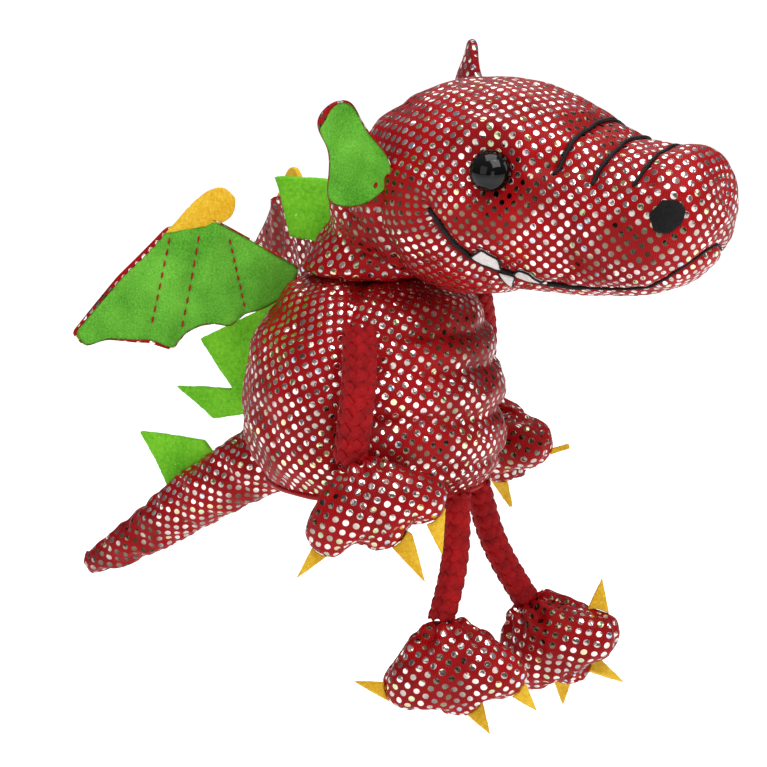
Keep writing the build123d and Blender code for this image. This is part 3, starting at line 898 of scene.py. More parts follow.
for share, reach in STITCHES:
    y = stitch_high[1] - share * (stitch_high[1] - stitch_low[1])
    centre = np.array([0, y, np.interp(-y, -head_rows[:, 0], head_rows[:, 1])])
    line = []
    for turn in np.linspace(-1.05, 1.05, 41) * reach:
        way = np.array([math.sin(turn), 0, math.cos(turn)])
        slope = np.array([0, 2.4 * (turn / 1.05) ** 2 - 0.6, 0])
        hit, normal = cast_head(centre + slope + way * 50, -way)
        line.append(hit)
    stitch_lines.append(np.array(line))
    amount -= crease(co, line, (0.7, 0.7), (0.35, 2.4))
nose_top = np.array([0, head_low[1] + 7.5, head_low[2] + 0.76 * head_size[2]])
amount += 0.9 * bump(np.linalg.norm((co - nose_top) * [0.55, 1, 1], axis=1), 0, 5.0)
under = 1 - step(co[:, 2], 60, 66)
collar = on_head(0.165, 0)[0] + 1.2 * np.sin(co[:, 2] * 0.25)
amount -= under * (1.0 * bump(co[:, 1], collar, 0.8) + 0.5 * bump(co[:, 1], collar, 2.6))
amount += under * 0.7 * bump(co[:, 1], collar + 5.0, 3.2)
amount += 0.22 * ripple(co, 5.5, 1) + 0.12 * ripple(co, (2.6, 6.0, 2.6), 2)
back = step(co[:, 1], -26, -8)
amount += back * 0.35 * ripple(co, (7, 3.2, 9), 4)
push(head, amount)
cast_head = caster(head)


def settle(cast, line, lift):
    """Moves a line that lies near the head onto its surface, lifted a little."""
    placed = []
    for p in line:
        centre = np.array([0, p[1], np.interp(-p[1], -head_rows[:, 0], head_rows[:, 1])])
        way = unit(p - centre)
        hit, normal = cast(p + way * 8, -way)
        placed.append(hit + normal * lift if hit is not None else p + way * lift)
    return np.array(placed)


finish_piece(head, DOTTED, "head", ("head_skin", "jaw_skin", "head_stuffing"))

# mouth thread: thick where it shows the smile, thin along the jaw and round the nose
final_mouth = []
for side in (-1, 1):
    line, normal = mouth_points(cast_head, side, 150)
    final_mouth.append(line + normal * 0.12)
mouth_path = np.concatenate([final_mouth[0], final_mouth[1][::-1][1:]])
share = np.linspace(0, 1, len(mouth_path))
from_corner = np.minimum(share, 1 - share) * 2
smile, smile_count = mouth_path[from_corner <= 0.46], int(len(mouth_path) * 0.23)
threads = [thread(smile[:smile_count], 0.52), thread(smile[-smile_count:], 0.52)]
threads.append(thread(mouth_path[from_corner > 0.44], 0.26, pitch=1.1))
mouth = build("mouth_stitching", *merged(threads))
flat_uv(mouth, lambda p: p[:, [0, 1]])
finish_piece(mouth, BLACK_THREAD, "head", ("mouth_thread",))

threads = [thread(settle(cast_head, line, 0.28), 0.42) for line in stitch_lines]
stitches = build("snout_stitching", *merged(threads))
flat_uv(stitches, lambda p: p[:, [0, 2]])
finish_piece(stitches, BLACK_THREAD, "head", ("snout_stitches",))


def on_skin_plate(cast, outline, side, lift, thick, spacing=0.32):
    """A felt shape cut to an outline in (y, z) and laid on the head's side."""
    outline = np.asarray(outline, float)
    fine = []
    for a, b in zip(outline, np.roll(outline, -1, axis=0)):
        n = max(2, int(np.linalg.norm(b - a) / spacing))
        fine += [a + (b - a) * k / n for k in range(n)]
    fine = np.array(fine)
    for _ in range(2):
        fine = 0.5 * fine + 0.25 * (np.roll(fine, 1, axis=0) + np.roll(fine, -1, axis=0))
    centre = fine.mean(axis=0)
    rim_ring = 4
    grid = []
    for share, up in ((0.25, 1.0), (0.5, 1.0), (0.75, 0.96), (0.92, 0.8), (1.0, 0.35), (1.0, -0.6)):
        ring = []
        for y, z in centre + (fine - centre) * share:
            hit, normal = cast((side * 60, y, z), (-side, 0, 0))
            ring.append(hit + normal * (lift + thick * up))
        grid.append(ring)
    return tube(np.array(grid)), list(np.array(grid)[rim_ring])


# felt teeth, as places along and up the head's box
TEETH = [
    [(0.400, 0.240), (0.442, 0.290), (0.470, 0.242), (0.460, 0.168), (0.442, 0.184), (0.420, 0.206)],
    [(0.488, 0.150), (0.514, 0.188), (0.546, 0.172), (0.558, 0.106), (0.522, 0.120)],
    [(0.450, 0.160), (0.484, 0.140), (0.470, 0.090)],
]
teeth, outlines = [], []
for side in (-1, 1):
    for outline in TEETH:
        plate, rim = on_skin_plate(cast_head, [on_head(*p) for p in outline], side, 0.25, 0.55)
        teeth.append(plate)
        closed = np.array(rim + [rim[0]])
        outlines.append(thread(closed, 0.26, plies=2, pitch=0.9, sides=6))
teeth_felt = build("teeth", *merged(teeth))
finish_piece(teeth_felt, WHITE_FELT, "head", ("upper_teeth", "lower_teeth"))
teeth_edge = build("teeth_edging", *merged(outlines))
flat_uv(teeth_edge, lambda p: p[:, [1, 2]])
finish_piece(teeth_edge, BLACK_THREAD, "head", ())

# nostrils: black felt leaves with a straight upper edge
NOSTRIL = [
    (0.866, 0.500), (0.880, 0.425), (0.912, 0.412), (0.938, 0.455),
    (0.946, 0.520), (0.930, 0.566), (0.896, 0.566),
]
for side, sign in (("right", -1), ("left", 1)):
    plate, rim = on_skin_plate(cast_head, [on_head(*p) for p in NOSTRIL], sign, 0.05, 0.5)
    nostril = build(f"nostril_felt_{side}", *plate)
    finish_piece(nostril, BLACK_FELT, "head", (f"nostril_{side}",))

# eyes: turned domes with a rounded rim, on the shanks of the CAD eyes
EYE_SECTION = [
    (0.0, 1.0), (0.20, 0.985), (0.42, 0.91), (0.62, 0.78), (0.79, 0.60), (0.91, 0.38),
    (0.975, 0.16), (1.0, 0.0), (0.985, -0.12), (0.90, -0.2), (0.72, -0.22), (0.0, -0.22),
]
EYE_RADIUS, EYE_HEIGHT, EYE_SET_BACK = 4.15, 3.3, 3.35
eye_turn = np.linspace(0, 2 * math.pi, 48, endpoint=False)[:, None]
for side, way in eye_way.items():
    top = (np.array([v.co for v in NODES[f"eye_{side}"].data.vertices]) / MM @ way).max()
    base = eye_at[side] + way * (top - eye_at[side] @ way - EYE_SET_BACK)
    _, ring_side, ring_other = along(np.array([base, base + way]))
    round_it = ring_side[0] * np.cos(eye_turn) + ring_other[0] * np.sin(eye_turn)
    section = through(EYE_SECTION, 26)[1:-1]
    grid = [base + way * h * EYE_HEIGHT + EYE_RADIUS * r * round_it for r, h in section]
    eye = build(f"eye_dome_{side}", *tube(np.array(grid)))
    finish_piece(eye, EYE_GLOSS, "head", (f"eye_{side}",))
    NODES[f"eye_washer_{side}"].data.materials.clear()
    NODES[f"eye_washer_{side}"].data.materials.append(WASHER)

# ---------------------------------------------------------------- neck
nod = pivot("head_nod")
neck_low, _ = box("neck_skin")
neck_base = np.array([0, pivot("neck_turn")[1], neck_low[2]])
NECK_COLS, NECK_ROWS = 80, 40
# how far up from the body to the nod pivot, and the radius: a foot on the body, a crease, a fat roll, the head
NECK_RINGS = [
    (-0.06, 12.4), (0.0, 13.6), (0.16, 13.5), (0.34, 12.9), (0.46, 12.7),
    (0.62, 14.6), (0.86, 15.6), (1.12, 15.2), (1.36, 13.6), (1.55, 10.6),
]
knots = np.array(NECK_RINGS)
neck_top = nod + unit(nod - neck_base) * 2.0 + np.array([0, 1.5, 0])
rows = spline(knots[:, 0], knots, np.linspace(knots[0, 0], knots[-1, 0], NECK_ROWS))
turn = np.linspace(0, 2 * math.pi, NECK_COLS, endpoint=False)
neck_grid = []
for share, radius in rows:
    centre = neck_base + (neck_top - neck_base) * share
    lean = 0.62 * step(np.array([share]), 0.0, 0.9)[0]
    x = radius * np.cos(turn)
    y = radius * np.sin(turn) * 1.02
    neck_grid.append(np.stack([x, centre[1] + y * math.cos(lean), centre[2] + y * math.sin(lean)], axis=1))
neck = build("neck_cloth", *tube(np.array(neck_grid)))
cloth_uv(neck, panels(NECK_ROWS, NECK_COLS, (NECK_COLS // 4, NECK_COLS * 3 // 4)))
row_of = ring_of(neck, NECK_ROWS, NECK_COLS)
crease_row = 12
held = (row_of < 2) | (row_of > NECK_ROWS - 6) | (row_of == crease_row)
puff(neck, np.where(held, 0.95, 0.1), pressure=2.5, growth=0.05, cap=1.2)
refine(neck, 1)
co = points(neck)
push(neck, 0.3 * ripple(co, (4, 4, 9), 6) + 0.15 * ripple(co, 2.4, 7))
between = ("neck", "head", neck_base + [0, 0, 4], nod + [0, -1, 3])
finish_piece(neck, DOTTED, between, ("neck_skin", "neck_stuffing"))

# ---------------------------------------------------------------- body
body_low, body_high = box("body_back_panel", "body_belly_panel")
body_r = (body_high[0] - body_low[0]) / 2
seam_y = box("body_belly_panel")[1][1]
# from the hem up: radius and height, as shares of the box
BODY_RINGS = [
    (0.835, 0.02), (0.872, -0.004), (0.896, 0.03), (0.953, 0.095), (0.990, 0.25), (0.988, 0.405),
    (0.953, 0.571), (0.884, 0.70), (0.775, 0.83), (0.64, 0.93), (0.46, 0.985), (0.24, 1.0), (0.08, 1.0),
]
BODY_COLS, BODY_ROWS = 128, 60
TOP_SEAM_ROW = BODY_ROWS - 14
table = np.array(BODY_RINGS) * [body_r, body_high[2] - body_low[2]] + [0, body_low[2]]
walk = walked(table)
# its columns go from the puppet's left, round by its back
body_grid = turned(spline(walk, table, np.linspace(0, walk[-1], BODY_ROWS)), BODY_COLS)
body = build("body_cloth", *tube(body_grid, first=False))
seam_turn = math.asin(seam_y / body_r)
seam_turns = (math.pi - seam_turn, 2 * math.pi + seam_turn)
seam_cols = [int(round(BODY_COLS * turn / (2 * math.pi))) for turn in seam_turns]


def body_seam(a, b):
    if max(a, b) >= BODY_COLS * BODY_ROWS:
        return False
    if a % BODY_COLS == b % BODY_COLS and a % BODY_COLS in seam_cols:
        return True
    return a // BODY_COLS == b // BODY_COLS == TOP_SEAM_ROW


cloth_uv(body, body_seam)
row_of = ring_of(body, BODY_ROWS, BODY_COLS)
on_seam = on_columns(body, BODY_COLS, seam_cols) & (np.arange(len(row_of)) < BODY_COLS * BODY_ROWS)
hold = np.where((row_of < 4) | (row_of > BODY_ROWS - 16), 0.95, np.where(on_seam, 0.8, 0.1))
puff(body, hold, pressure=3.0, growth=0.04, cap=1.5)
refine(body, 1)
co = points(body)
bearing = np.arctan2(co[:, 0], -co[:, 1])  # 0 in front, negative on the puppet's right
height = (co[:, 2] - body_low[2]) / (body_high[2] - body_low[2])
front = 1 - step(np.abs(bearing), 1.0, 1.45)
amount = np.zeros(len(co))
for column in seam_cols:
    amount -= crease(co, body_grid[:, column], (0.75, 0.9), (0.35, 2.8))
wave = 0.02 * np.sin(bearing * 2.3 + 0.6)
for at, depth, width in ((0.14, 0.9, 0.026), (0.36, 1.25, 0.034), (0.60, 1.2, 0.034), (0.76, 0.8, 0.03)):
    amount -= front * depth * bump(height + wave, at, width)
    amount += front * depth * 0.55 * bump(height + wave, at + 0.11, 0.06)
near_back = step(-bearing, 1.5, 1.9) + step(bearing, 1.5, 1.9)
amount += near_back * 0.55 * ripple(co, (9, 9, 6), 8)
amount -= 0.8 * near_back * bump(height + 0.05 * np.sin(bearing * 3), 0.80, 0.035)
amount += 0.3 * ripple(co, (5, 5, 4), 9) + 0.12 * ripple(co, 2.3, 10)
amount *= step(height, 0.0, 0.06)
amount -= 0.55 * step(height, 0.78, 0.9) * step(-co[:, 1], -2, 4)
push(body, amount)
co = points(body)
co[:, 1] += 1.1 * step(height, 0.02, 0.3) * (1 - step(height, 0.7, 0.95))
put(body, co)
finish_piece(body, DOTTED, "trunk", ("body_back_panel", "body_belly_panel", "body_stuffing"))

# socket lining: a rolled hem, a plain cloth floor and the tube for the finger
hem_low, hem_high = box("finger_lining")
hem_r = (hem_high[0] - hem_low[0]) / 2
# from the hem inwards and up the tube: radius and height
LINING_SECTION = [
    (hem_r - 1.2, 1.6), (hem_r - 0.1, 1.5), (hem_r + 0.2, 0.9), (hem_r - 0.3, 0.25), (hem_r - 1.4, 0.1),
    (18.5, 0.45), (14.5, 0.35), (11.6, 0.2), (10.4, 0.7), (10.1, 2.5), (10.05, 12), (10.05, 24), (10.05, 32),
    (9.6, 36), (7.6, 38.2), (4.0, 39.2), (1.0, 39.4),
]
lining = build("socket_lining", *tube(turned(through(LINING_SECTION, 90), 96), first=False))
co = points(lining)
radial = np.hypot(co[:, 0], co[:, 1])
bearing = np.arctan2(co[:, 1], co[:, 0])
lining_uv = np.stack([bearing * 16, radial + co[:, 2]], axis=1)
flat_uv(lining, lambda p: lining_uv)
co[:, 2] += 0.16 * np.sin(bearing * 22 + 2 * np.sin(bearing * 3)) * bump(radial, 11.5, 3.0) * (co[:, 2] < 3)
co[:, 2] += 0.12 * ripple(co, 3.0, 11) * (radial > 11)
put(lining, co)
finish_piece(lining, PLAIN, "trunk", ("finger_lining",))

# ---------------------------------------------------------------- tail
root = pivot("tail_lift")
tail_low, tail_high = box("tail_skin")
tip_r = 3.1
tip = np.array([0, tail_high[1] - tip_r, tail_low[2] + tip_r])
way = unit(tip - root)
length = np.linalg.norm(tip - root)
up_way = np.cross([1.0, 0, 0], way)
TAIL_COLS, TAIL_ROWS = 56, 60
TAIL_SEAMS = (TAIL_COLS // 4, TAIL_COLS * 3 // 4)
# root to tip: how far along as a share, radius, and lift off the straight line
TAIL_RINGS = [
    (-0.11, 7.2, 0.0), (0.0, 7.2, 0.0), (0.14, 6.9, 0.2), (0.32, 6.45, 0.3), (0.52, 5.8, 0.1),
    (0.70, 4.9, -0.2), (0.86, 3.95, -0.2), (0.96, 3.3, 0.0), (1.01, 2.9, 0.1), (1.04, 2.1, 0.1), (1.058, 0.9, 0.1),
]
table = np.array(TAIL_RINGS)
walk = walked(table[:, :2] * [length, 1])
rows = spline(walk, table, np.linspace(0, walk[-1], TAIL_ROWS))
turn = np.linspace(0, 2 * math.pi, TAIL_COLS, endpoint=False)[:, None]
round_it = np.cos(turn) * np.array([1.0, 0, 0]) + np.sin(turn) * up_way
tail_grid = np.array([root + way * s * length + up_way * lift + r * round_it for s, r, lift in rows])
tail = build("tail_cloth", *tube(tail_grid))
cloth_uv(tail, panels(TAIL_ROWS, TAIL_COLS, TAIL_SEAMS), up=way)
row_of = ring_of(tail, TAIL_ROWS, TAIL_COLS)
hold = np.where(row_of < 8, 0.95, np.where(on_columns(tail, TAIL_COLS, TAIL_SEAMS), 0.7, 0.12))
puff(tail, hold, pressure=3.0, growth=0.05, cap=0.9)
refine(tail, 1)
co = points(tail)
amount = 0.28 * ripple(co, (4, 5, 4), 12) + 0.12 * ripple(co, 2.2, 13)
for column in TAIL_SEAMS:
    amount -= crease(co, tail_grid[:, column], (0.45, 0.8))
push(tail, amount)
between = ("trunk", "tail", root - way * 2, root + way * 9)
finish_piece(tail, DOTTED, between, ("tail_skin", "tail_stuffing"))

# ---------------------------------------------------------------- limbs
# each limb: its two joints, and how far its cord bows off the straight line at a third and at two thirds
LIMBS = {
    "arm_right": ("arm_swing_right", "wrist_right", (-1.4, -1.3, -0.6), (-1.5, -1.2, -0.4)),
    "arm_left": ("arm_swing_left", "wrist_left", (1.0, -0.6, -1.0), (0.8, -0.4, -0.8)),
    "leg_right": ("hip_right", "ankle_right", (0.2, -0.6, -0.2), (-0.1, -0.7, -0.3)),
    "leg_left": ("hip_left", "ankle_left", (-0.5, 0.6, -0.2), (-0.4, 0.5, -0.3)),
}
STRANDS, STRAND_SIDES, STRAND_SPIN = 7, 8, 0.36  # the spin is in radians a millimetre
CORD_POINTS = 110
PAW_COLS, PAW_ROWS = 72, 40
for limb, (high_joint, low_joint, bow_high, bow_low) in LIMBS.items():
    kind, side = limb.split("_")
    start, end = pivot(high_joint), pivot(low_joint)
    thickness = 2.95 if kind == "arm" else 2.25
    span = end - start
    path = through([start, start + span / 3 + bow_high, start + span * 2 / 3 + bow_low, end], 90)
    tangent, _, _ = along(path)
    into_body, into_paw = (1.6 if kind == "arm" else 4.2), 2.4
    first, last = path[0] - tangent[0] * into_body, path[-1] + tangent[-1] * into_paw
    path = np.concatenate([[first], path, [last]])
    path = through(path, CORD_POINTS)
    tangent, across, other = along(path)
    run = walked(path)
    parts, uvs = [], []
    for hand_of, phase in ((1, 0.0), (-1, 0.4)):
        for strand in range(STRANDS):
            turn = hand_of * STRAND_SPIN * run + 2 * math.pi * strand / STRANDS + phase
            weave = np.cos(STRANDS * STRAND_SPIN * run - phase * STRANDS / 2) * hand_of
            radial = across * np.cos(turn)[:, None] + other * np.sin(turn)[:, None]
            centre = path + radial * (thickness - 0.15 + 0.26 * weave)[:, None]
            parts.append(sweep(centre, 0.98, STRAND_SIDES, flat=0.46, face=radial))
            index = np.arange(len(parts[-1][0]))
            ring = np.minimum(index // STRAND_SIDES, CORD_POINTS - 1)
            uvs.append(np.stack([index % STRAND_SIDES * 0.6, ring * 0.22], axis=1))
    parts.append(sweep(path, thickness - 0.5, 20))
    uvs.append(np.zeros((len(parts[-1][0]), 2)))
    cord_piece = build(f"{kind}_cord_braid_{side}", *merged(parts))
    uv_all = np.concatenate(uvs)
    flat_uv(cord_piece, lambda p: uv_all)
    finish_piece(cord_piece, CORD, limb, (f"{kind}_cord_{side}",))

    # paw: gathered at the cord and puffed out into three toes
    paw = "hand" if kind == "arm" else "foot"
    body_name = f"{paw}_{side}"
    fall = unit(middle(f"{paw}_stuffing_{side}") - end)
    gather = end + fall * 3.0
    centre = gather + fall * 8.6
    shell = caster(NODES[f"{paw}_skin_{side}"])
    turn = np.linspace(0, 2 * math.pi, PAW_COLS, endpoint=False)
    _, axis_a, axis_b = along(np.array([gather, gather + fall]))
    radii = np.zeros((PAW_ROWS, PAW_COLS))
    ways = np.zeros((PAW_ROWS, PAW_COLS, 3))
    for r, polar in enumerate(np.linspace(0.06, math.pi - 0.05, PAW_ROWS)):
        for c, t in enumerate(turn):
            sideways = axis_a[0] * math.cos(t) + axis_b[0] * math.sin(t)
            d = -fall * math.cos(polar) + math.sin(polar) * sideways
            hit, _ = shell(centre + d * 45, -d)
            ways[r, c] = d
            radii[r, c] = np.linalg.norm(hit - centre) if hit is not None else 8
    for _ in range(2):
        radii = 0.5 * radii + 0.25 * (np.roll(radii, 1, axis=1) + np.roll(radii, -1, axis=1))
        inner = radii.copy()
        inner[1:-1] = 0.5 * radii[1:-1] + 0.25 * (radii[:-2] + radii[2:])
        radii = inner
    paw_grid = centre + ways * radii[:, :, None]
    puffy = build(f"{paw}_cloth_{side}", *tube(paw_grid))
    widest = int(np.argmax(radii[PAW_ROWS * 2 // 3 : PAW_ROWS * 2 // 3 + 2].mean(axis=0)))
    paw_seams = (widest, (widest + PAW_COLS // 2) % PAW_COLS)
    cloth_uv(puffy, panels(PAW_ROWS, PAW_COLS, paw_seams), up=-fall)
    row_of = ring_of(puffy, PAW_ROWS, PAW_COLS)
    hold = np.where(row_of < 3, 0.95, np.where(on_columns(puffy, PAW_COLS, paw_seams), 0.6, 0.12))
    puff(puffy, hold, pressure=3.0, growth=0.07, cap=1.0)
    refine(puffy, 1)
    co = points(puffy)
    depth = (co - gather) @ fall
    bearing = np.arctan2((co - gather) @ axis_b[0], (co - gather) @ axis_a[0])
    gathers = np.sin(bearing * 9 + 1.2 * np.sin(bearing * 2 + len(limb)))
    amount = 0.55 * gathers * bump(depth, 1.5, 3.0)
    amount += 0.3 * ripple(co, (3.6, 3.6, 3.6), 14 + len(limb)) + 0.12 * ripple(co, 1.9, 15)
    for column in paw_seams:
        amount -= crease(co, paw_grid[:, column], (0.5, 0.9))
    push(puffy, amount)
    finish_piece(puffy, DOTTED, body_name, (f"{paw}_skin_{side}", f"{paw}_stuffing_{side}"))
    claws = felt_copy(f"{paw}_claw_felt_{side}", [f"{paw}_claws_{side}"], voxel=0.2, fuzz=0.04)
    finish_piece(claws, YELLOW_FELT, body_name, (f"{paw}_claws_{side}",))

# ---------------------------------------------------------------- spines
for name, node_name, body_name, seed in (
    ("back_spine_felt", "back_spines", "trunk", 1),
    ("neck_spine_felt", "neck_spines", "neck", 2),
    ("tail_spine_felt", "tail_spine", "tail", 3),
):
    low, high = box(node_name)

    def sway(p, seed=seed, low=low):
        moved = np.zeros_like(p)
        out = np.clip((p[:, 1] - low[1]) / 20, 0, 1)
        moved[:, 0] = out * (0.9 * np.sin(p[:, 2] * 0.21 + seed) + 0.5 * np.sin(p[:, 1] * 0.3 + seed * 2))
        return moved

    spine = felt_copy(name, [node_name], voxel=0.3, fuzz=0.07, bend=sway)
    finish_piece(spine, GREEN_FELT, body_name, (node_name,))

# ---------------------------------------------------------------- ears and wings
def leaf(name, outline, origin, x_way, y_way, face_way, thick, shape, margin, cols=120, rows=22, soften=2):
    """A flat two-layer piece: a velour face and a dotted back that rolls over the rim onto the face."""
    outline = np.asarray(outline, float)
    ring = np.concatenate([outline, outline[:1]])
    run = walked(ring)
    at = np.linspace(0, run[-1], cols, endpoint=False)
    edge = np.stack([np.interp(at, run, ring[:, 0]), np.interp(at, run, ring[:, 1])], axis=1)
    for _ in range(soften):
        edge = 0.5 * edge + 0.25 * (np.roll(edge, 1, axis=0) + np.roll(edge, -1, axis=0))
    centre = edge.mean(axis=0)
    inset = (margin(edge[:, 0], edge[:, 1]) / np.linalg.norm(edge - centre, axis=1))[:, None]

    def layer(suffix, shares, depths):
        """One side of the leaf, from its middle outwards: how far out each ring is, and how far forward."""
        grid, flat = [], []
        for share, depth in zip(shares, depths):
            share = np.broadcast_to(np.ravel(share), (cols,))
            p = centre + (edge - centre) * share[:, None]
            d = thick * depth + shape(p[:, 0], p[:, 1], share)
            grid.append(origin + p[:, :1] * x_way + p[:, 1:] * y_way + d[:, None] * face_way)
            flat.append(p)
        piece = build(f"{name}_{suffix}", *tube(np.array(grid), last=False))
        flat = np.array(flat)
        uv = np.concatenate([flat.reshape(-1, 2), flat[:1].mean(axis=1)])
        flat_uv(piece, lambda p: uv)
        return piece

    rim = [1 - inset * 0.45, 1 - inset, 1 - inset * 1.15]
    shares = [*np.linspace(0.04, 0.97, rows), 0.985, 1.0, 1.008, 1.004, *rim]
    skin = layer("skin_cloth", shares, [-0.5] * rows + [-0.30, -0.12, 0.12, 0.40, 0.56, 0.50, 0.30])
    shares = [*np.linspace(0.04, 1 - inset * 0.9, rows), 1 - inset * 0.6]
    face = layer("face_velour", shares, [0.5] * (rows - 2) + [0.46, 0.34, 0.1])
    return skin, face, (edge.max(axis=0) - edge.min(axis=0) + 2.0) * MM


def finish_leaf(kind, side, skin, face, span, rests_on):
    finish_piece(skin, DOTTED, f"{kind}_{side}", (f"{kind}_skin_{side}",))
    finish_piece(face, VELOUR, f"{kind}_{side}", (f"{kind}_lining_{side}",))


# outwards from the root, and upwards: from the pivot for the ear, from the origin for the wing
EAR_OUTLINE = [
    (0.8, -2.8), (3.0, -5.2), (8.6, -6.2), (11.2, -4.4), (11.5, -0.6), (11.9, 7.0), (13.6, 11.0),
    (13.8, 13.8), (11.6, 15.8), (7.4, 15.4), (5.6, 12.6), (2.8, 8.2), (0.0, 4.6), (-0.5, 0.4),
]
WING_OUTLINE = [
    (-5.4, 42.4), (2.4, 47.4), (12.1, 53.0), (21.2, 51.2), (30.8, 41.8), (40, 30.4), (37.4, 27.6),
    (33.2, 28.9), (29, 28.6), (24.6, 28.2), (20.0, 26.4), (17.4, 30.0), (14.6, 31.6), (11.6, 32.0),
    (8.6, 31.2), (5.6, 33.6), (2.4, 34.2), (-3.6, 37.2),
]
WING_CREASES = ((20.4, 0.22), (14.6, 0.2), (8.6, -0.2))  # where each meets the upper edge, and its slope
WING_VEINS = (((20.4, 49.4), (24.4, 31.5)), ((14.6, 49.8), (18.4, 30.4)), ((8.6, 48.8), (5.6, 34.4)))
VEIN_STITCHES = 8
UP = np.array([0, 0, 1.0])


def ear_margin(x, y):
    """The dotted back shows round the ear's upper tip."""
    return 0.12 + 1.7 * np.exp(-(((x - 13.6) / 2.6) ** 2) - ((y - 14.6) / 2.6) ** 2)


def wing_margin(x, y):
    """The dotted back shows along the wing's upper outer edge."""
    return 0.12 + 0.75 * step(x, 15, 24) * step(y - 0.18 * x, 21.5, 25)


for side, sign in (("right", -1), ("left", 1)):
    ear_root = pivot(f"ear_bend_{side}") + (np.zeros(3) if side == "right" else np.array([1.0, 0, 0]))
    x_way = unit([-0.58, 0.81, 0.0] if side == "right" else [0.38, 0.92, 0.0])
    face_way = unit([sign * 0.78, -0.56, -0.26])
    face_way = unit(face_way - x_way * (face_way @ x_way))
    y_way = np.cross(face_way, x_way)
    y_way = y_way if y_way[2] > 0 else -y_way
    outline = through(EAR_OUTLINE + EAR_OUTLINE[:1], 100)[:-1] * [1, 1.0 if side == "right" else 1.1]

    def cup(x, y, share):
        fold = 2.1 * np.exp(-(((x - 3.2) / 2.6) ** 2) - ((y - 0.5) / 4.6) ** 2)
        return 0.05 * (x - 6.5) ** 2 - 1.0 - fold + 0.9 * step(y, 8, 16) * (x - 8) * 0.25

    ear = leaf(f"ear_{side}", outline, ear_root, x_way, y_way, face_way, 1.5, cup, ear_margin)
    finish_leaf("ear", side, *ear, "head_cloth")

    root = pivot(f"wing_flap_{side}")
    low, high = box(f"wing_lining_{side}")
    far = np.array([max(abs(low[0]), abs(high[0])), high[1]])
    sweep_angle = math.atan2(far[0] - abs(root[0]), far[1] - root[1])
    x_way = np.array([sign * math.sin(sweep_angle), math.cos(sweep_angle), 0])
    face_way = np.array([sign * math.cos(sweep_angle), -math.sin(sweep_angle), 0])
    origin = np.array([root[0], root[1], 0.0])
    outline = []
    for a, b in zip(WING_OUTLINE, WING_OUTLINE[1:] + WING_OUTLINE[:1]):
        outline += [np.array(a), (np.array(a) + np.array(b)) / 2]

    def billow(x, y, share):
        lines = sum(bump(x, at + slope * (49 - y), 1.6) for at, slope in WING_CREASES)
        wide = 1.4 * np.sin((x - 2) * 0.11) * np.sin((y - 24) * 0.11)
        return wide - 0.7 * lines + 0.5 * np.sin(x * 0.45 + y * 0.3) * share**2

    wing = leaf(f"wing_{side}", outline, origin, x_way, UP, face_way, 1.5, billow, wing_margin, 160, 30)
    finish_leaf("wing", side, *wing, "body_cloth")
    dashes = []
    for top, foot in WING_VEINS:
        top, foot = np.array(top), np.array(foot)
        for k in range(VEIN_STITCHES):
            line = []
            for share, lift in ((0.08, -0.05), (0.3, 0.22), (0.5, 0.22), (0.62, -0.05)):
                x, y = top + (foot - top) * (k + share) / VEIN_STITCHES
                line.append(origin + x * x_way + y * UP + (0.75 + lift + float(billow(x, y, 0.6))) * face_way)
            dashes.append(thread(line, 0.24, plies=2, pitch=0.8, sides=6))
    veins = build(f"wing_vein_stitching_{side}", *merged(dashes))
    flat_uv(veins, lambda p: p[:, [1, 2]])
    finish_piece(veins, RED_THREAD, f"wing_{side}", (f"wing_veins_{side}",))

    def lean(p, root=root):
        moved = np.zeros_like(p)
        moved[:, 0] = sign * 0.6 * np.sin((p[:, 2] - 50) * 0.3)
        moved[:, 2] = -1.8
        return moved

    claw = felt_copy(f"wing_claw_felt_{side}", [f"wing_claw_{side}"], voxel=0.22, fuzz=0.05, bend=lean)
    finish_piece(claw, YELLOW_FELT, f"wing_{side}", (f"wing_claw_{side}",))

# ---------------------------------------------------------------- stage, light and camera
# the floor glows white: painted light that also lights the puppet from below. Its glow is weaker near the middle,
# a painted shade under the puppet
made, tree, shader = material("studio_floor")
place = node(tree, "ShaderNodeTexCoord").outputs["Object"]
connect(
    tree,
    shader,
    Base_Color=mix(tree, cloud(tree, place, 30, 2), rgb(236, 236, 236), rgb(242, 242, 242)),
    Roughness=0.9,
    Emission_Color=rgb(255, 255, 255),
    Emission_Strength=remap(tree, vector(tree, "LENGTH", place), 0.12, 0.36, 0.2, 0.8),
)
low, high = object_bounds()
FLOOR_DROP, FLOOR_EXTENT = 90, 6000
floor_z = low[2] / MM - FLOOR_DROP
corners = [(x * FLOOR_EXTENT, y * FLOOR_EXTENT, floor_z) for x, y in ((-1, -1), (1, -1), (1, 1), (-1, 1))]
floor = build("studio_floor", corners, [(0, 1, 2, 3)])
floor.data.materials.append(made)

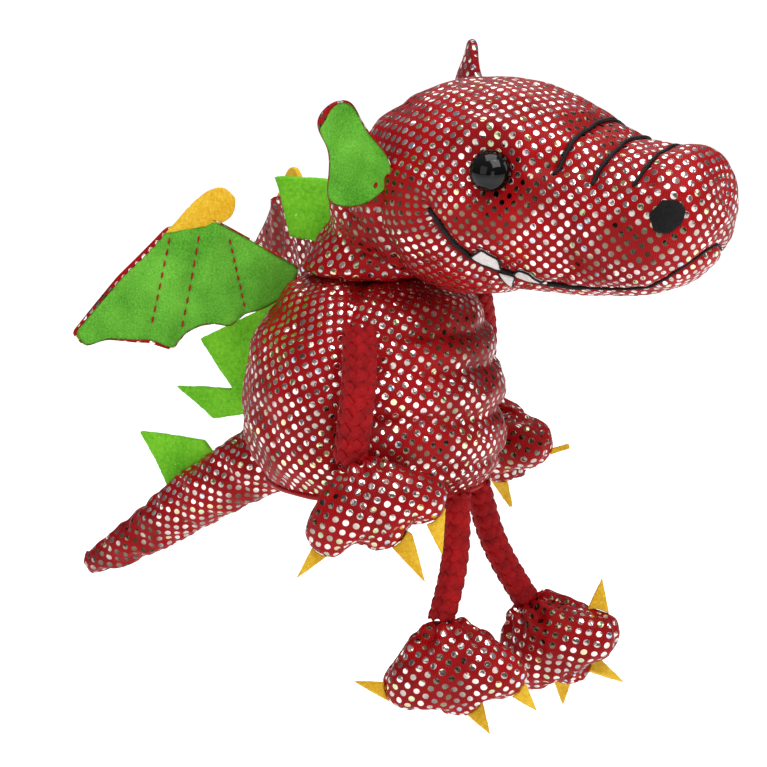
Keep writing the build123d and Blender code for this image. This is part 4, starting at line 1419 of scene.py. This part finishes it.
world = bpy.data.worlds.new("studio")
scene.world = world
world.use_nodes = True
tree = world.node_tree
background = tree.nodes["Background"]
seen = node(tree, "ShaderNodeLightPath").outputs["Is Camera Ray"]
direction = node(tree, "ShaderNodeTexCoord").outputs["Generated"]
upwards = node(tree, "ShaderNodeSeparateXYZ", {0: direction}).outputs[2]
around = mix(tree, remap(tree, upwards, -0.3, 0.9), (0.05, 0.05, 0.05, 1), (0.3, 0.31, 0.33, 1))
tree.links.new(mix(tree, seen, around, (1.0, 1.0, 1.0, 1)), background.inputs[0])
background.inputs[1].default_value = 1.0

AIM = Vector((0.0040, 0.00105, 0.0189))


def bearing_to(azimuth, elevation):
    """The direction from the puppet towards a bearing and a height, in degrees."""
    a, e = math.radians(azimuth), math.radians(elevation)
    return Vector((math.sin(a) * math.cos(e), -math.cos(a) * math.cos(e), math.sin(e)))


def aim(obj, azimuth, elevation, distance):
    """Puts a lamp or a camera at a distance, looking at the puppet."""
    back = bearing_to(azimuth, elevation)
    obj.location = AIM + back * distance
    obj.rotation_mode = "QUATERNION"
    obj.rotation_quaternion = (-back).to_track_quat("-Z", "Y")
    scene.collection.objects.link(obj)


# bearing, height in degrees, distance, width and height in metres, watts
for name, azimuth, elevation, distance, width, tall, power in (
    ("key", -32, 52, 0.75, 0.5, 0.42, 2.5),
    ("fill", -98, 22, 0.8, 0.42, 0.5, 0.55),
    ("front", -55, 8, 1.3, 0.34, 0.5, 0.6),
    ("top", -60, 84, 0.8, 0.55, 0.55, 2.9),
    ("right", 30, 24, 0.85, 0.3, 0.5, 0.9),
    ("rear", 120, 38, 0.9, 0.5, 0.4, 1.4),
):
    data = bpy.data.lights.new(name, "AREA")
    data.shape = "RECTANGLE"
    data.size, data.size_y = width, tall
    data.energy = power
    aim(bpy.data.objects.new(name, data), azimuth, elevation, distance)

CAMERA_DISTANCE, FRAME_WIDTH = 0.9, 0.1534
camera_data = bpy.data.cameras.new("camera")
camera_data.sensor_width = 36
camera_data.lens = 36 * CAMERA_DISTANCE / FRAME_WIDTH
camera_data.clip_start, camera_data.clip_end = 0.01, 30
camera = bpy.data.objects.new("camera", camera_data)
aim(camera, -60, 12, CAMERA_DISTANCE)
scene.camera = camera
scene.view_settings.view_transform = "Standard"
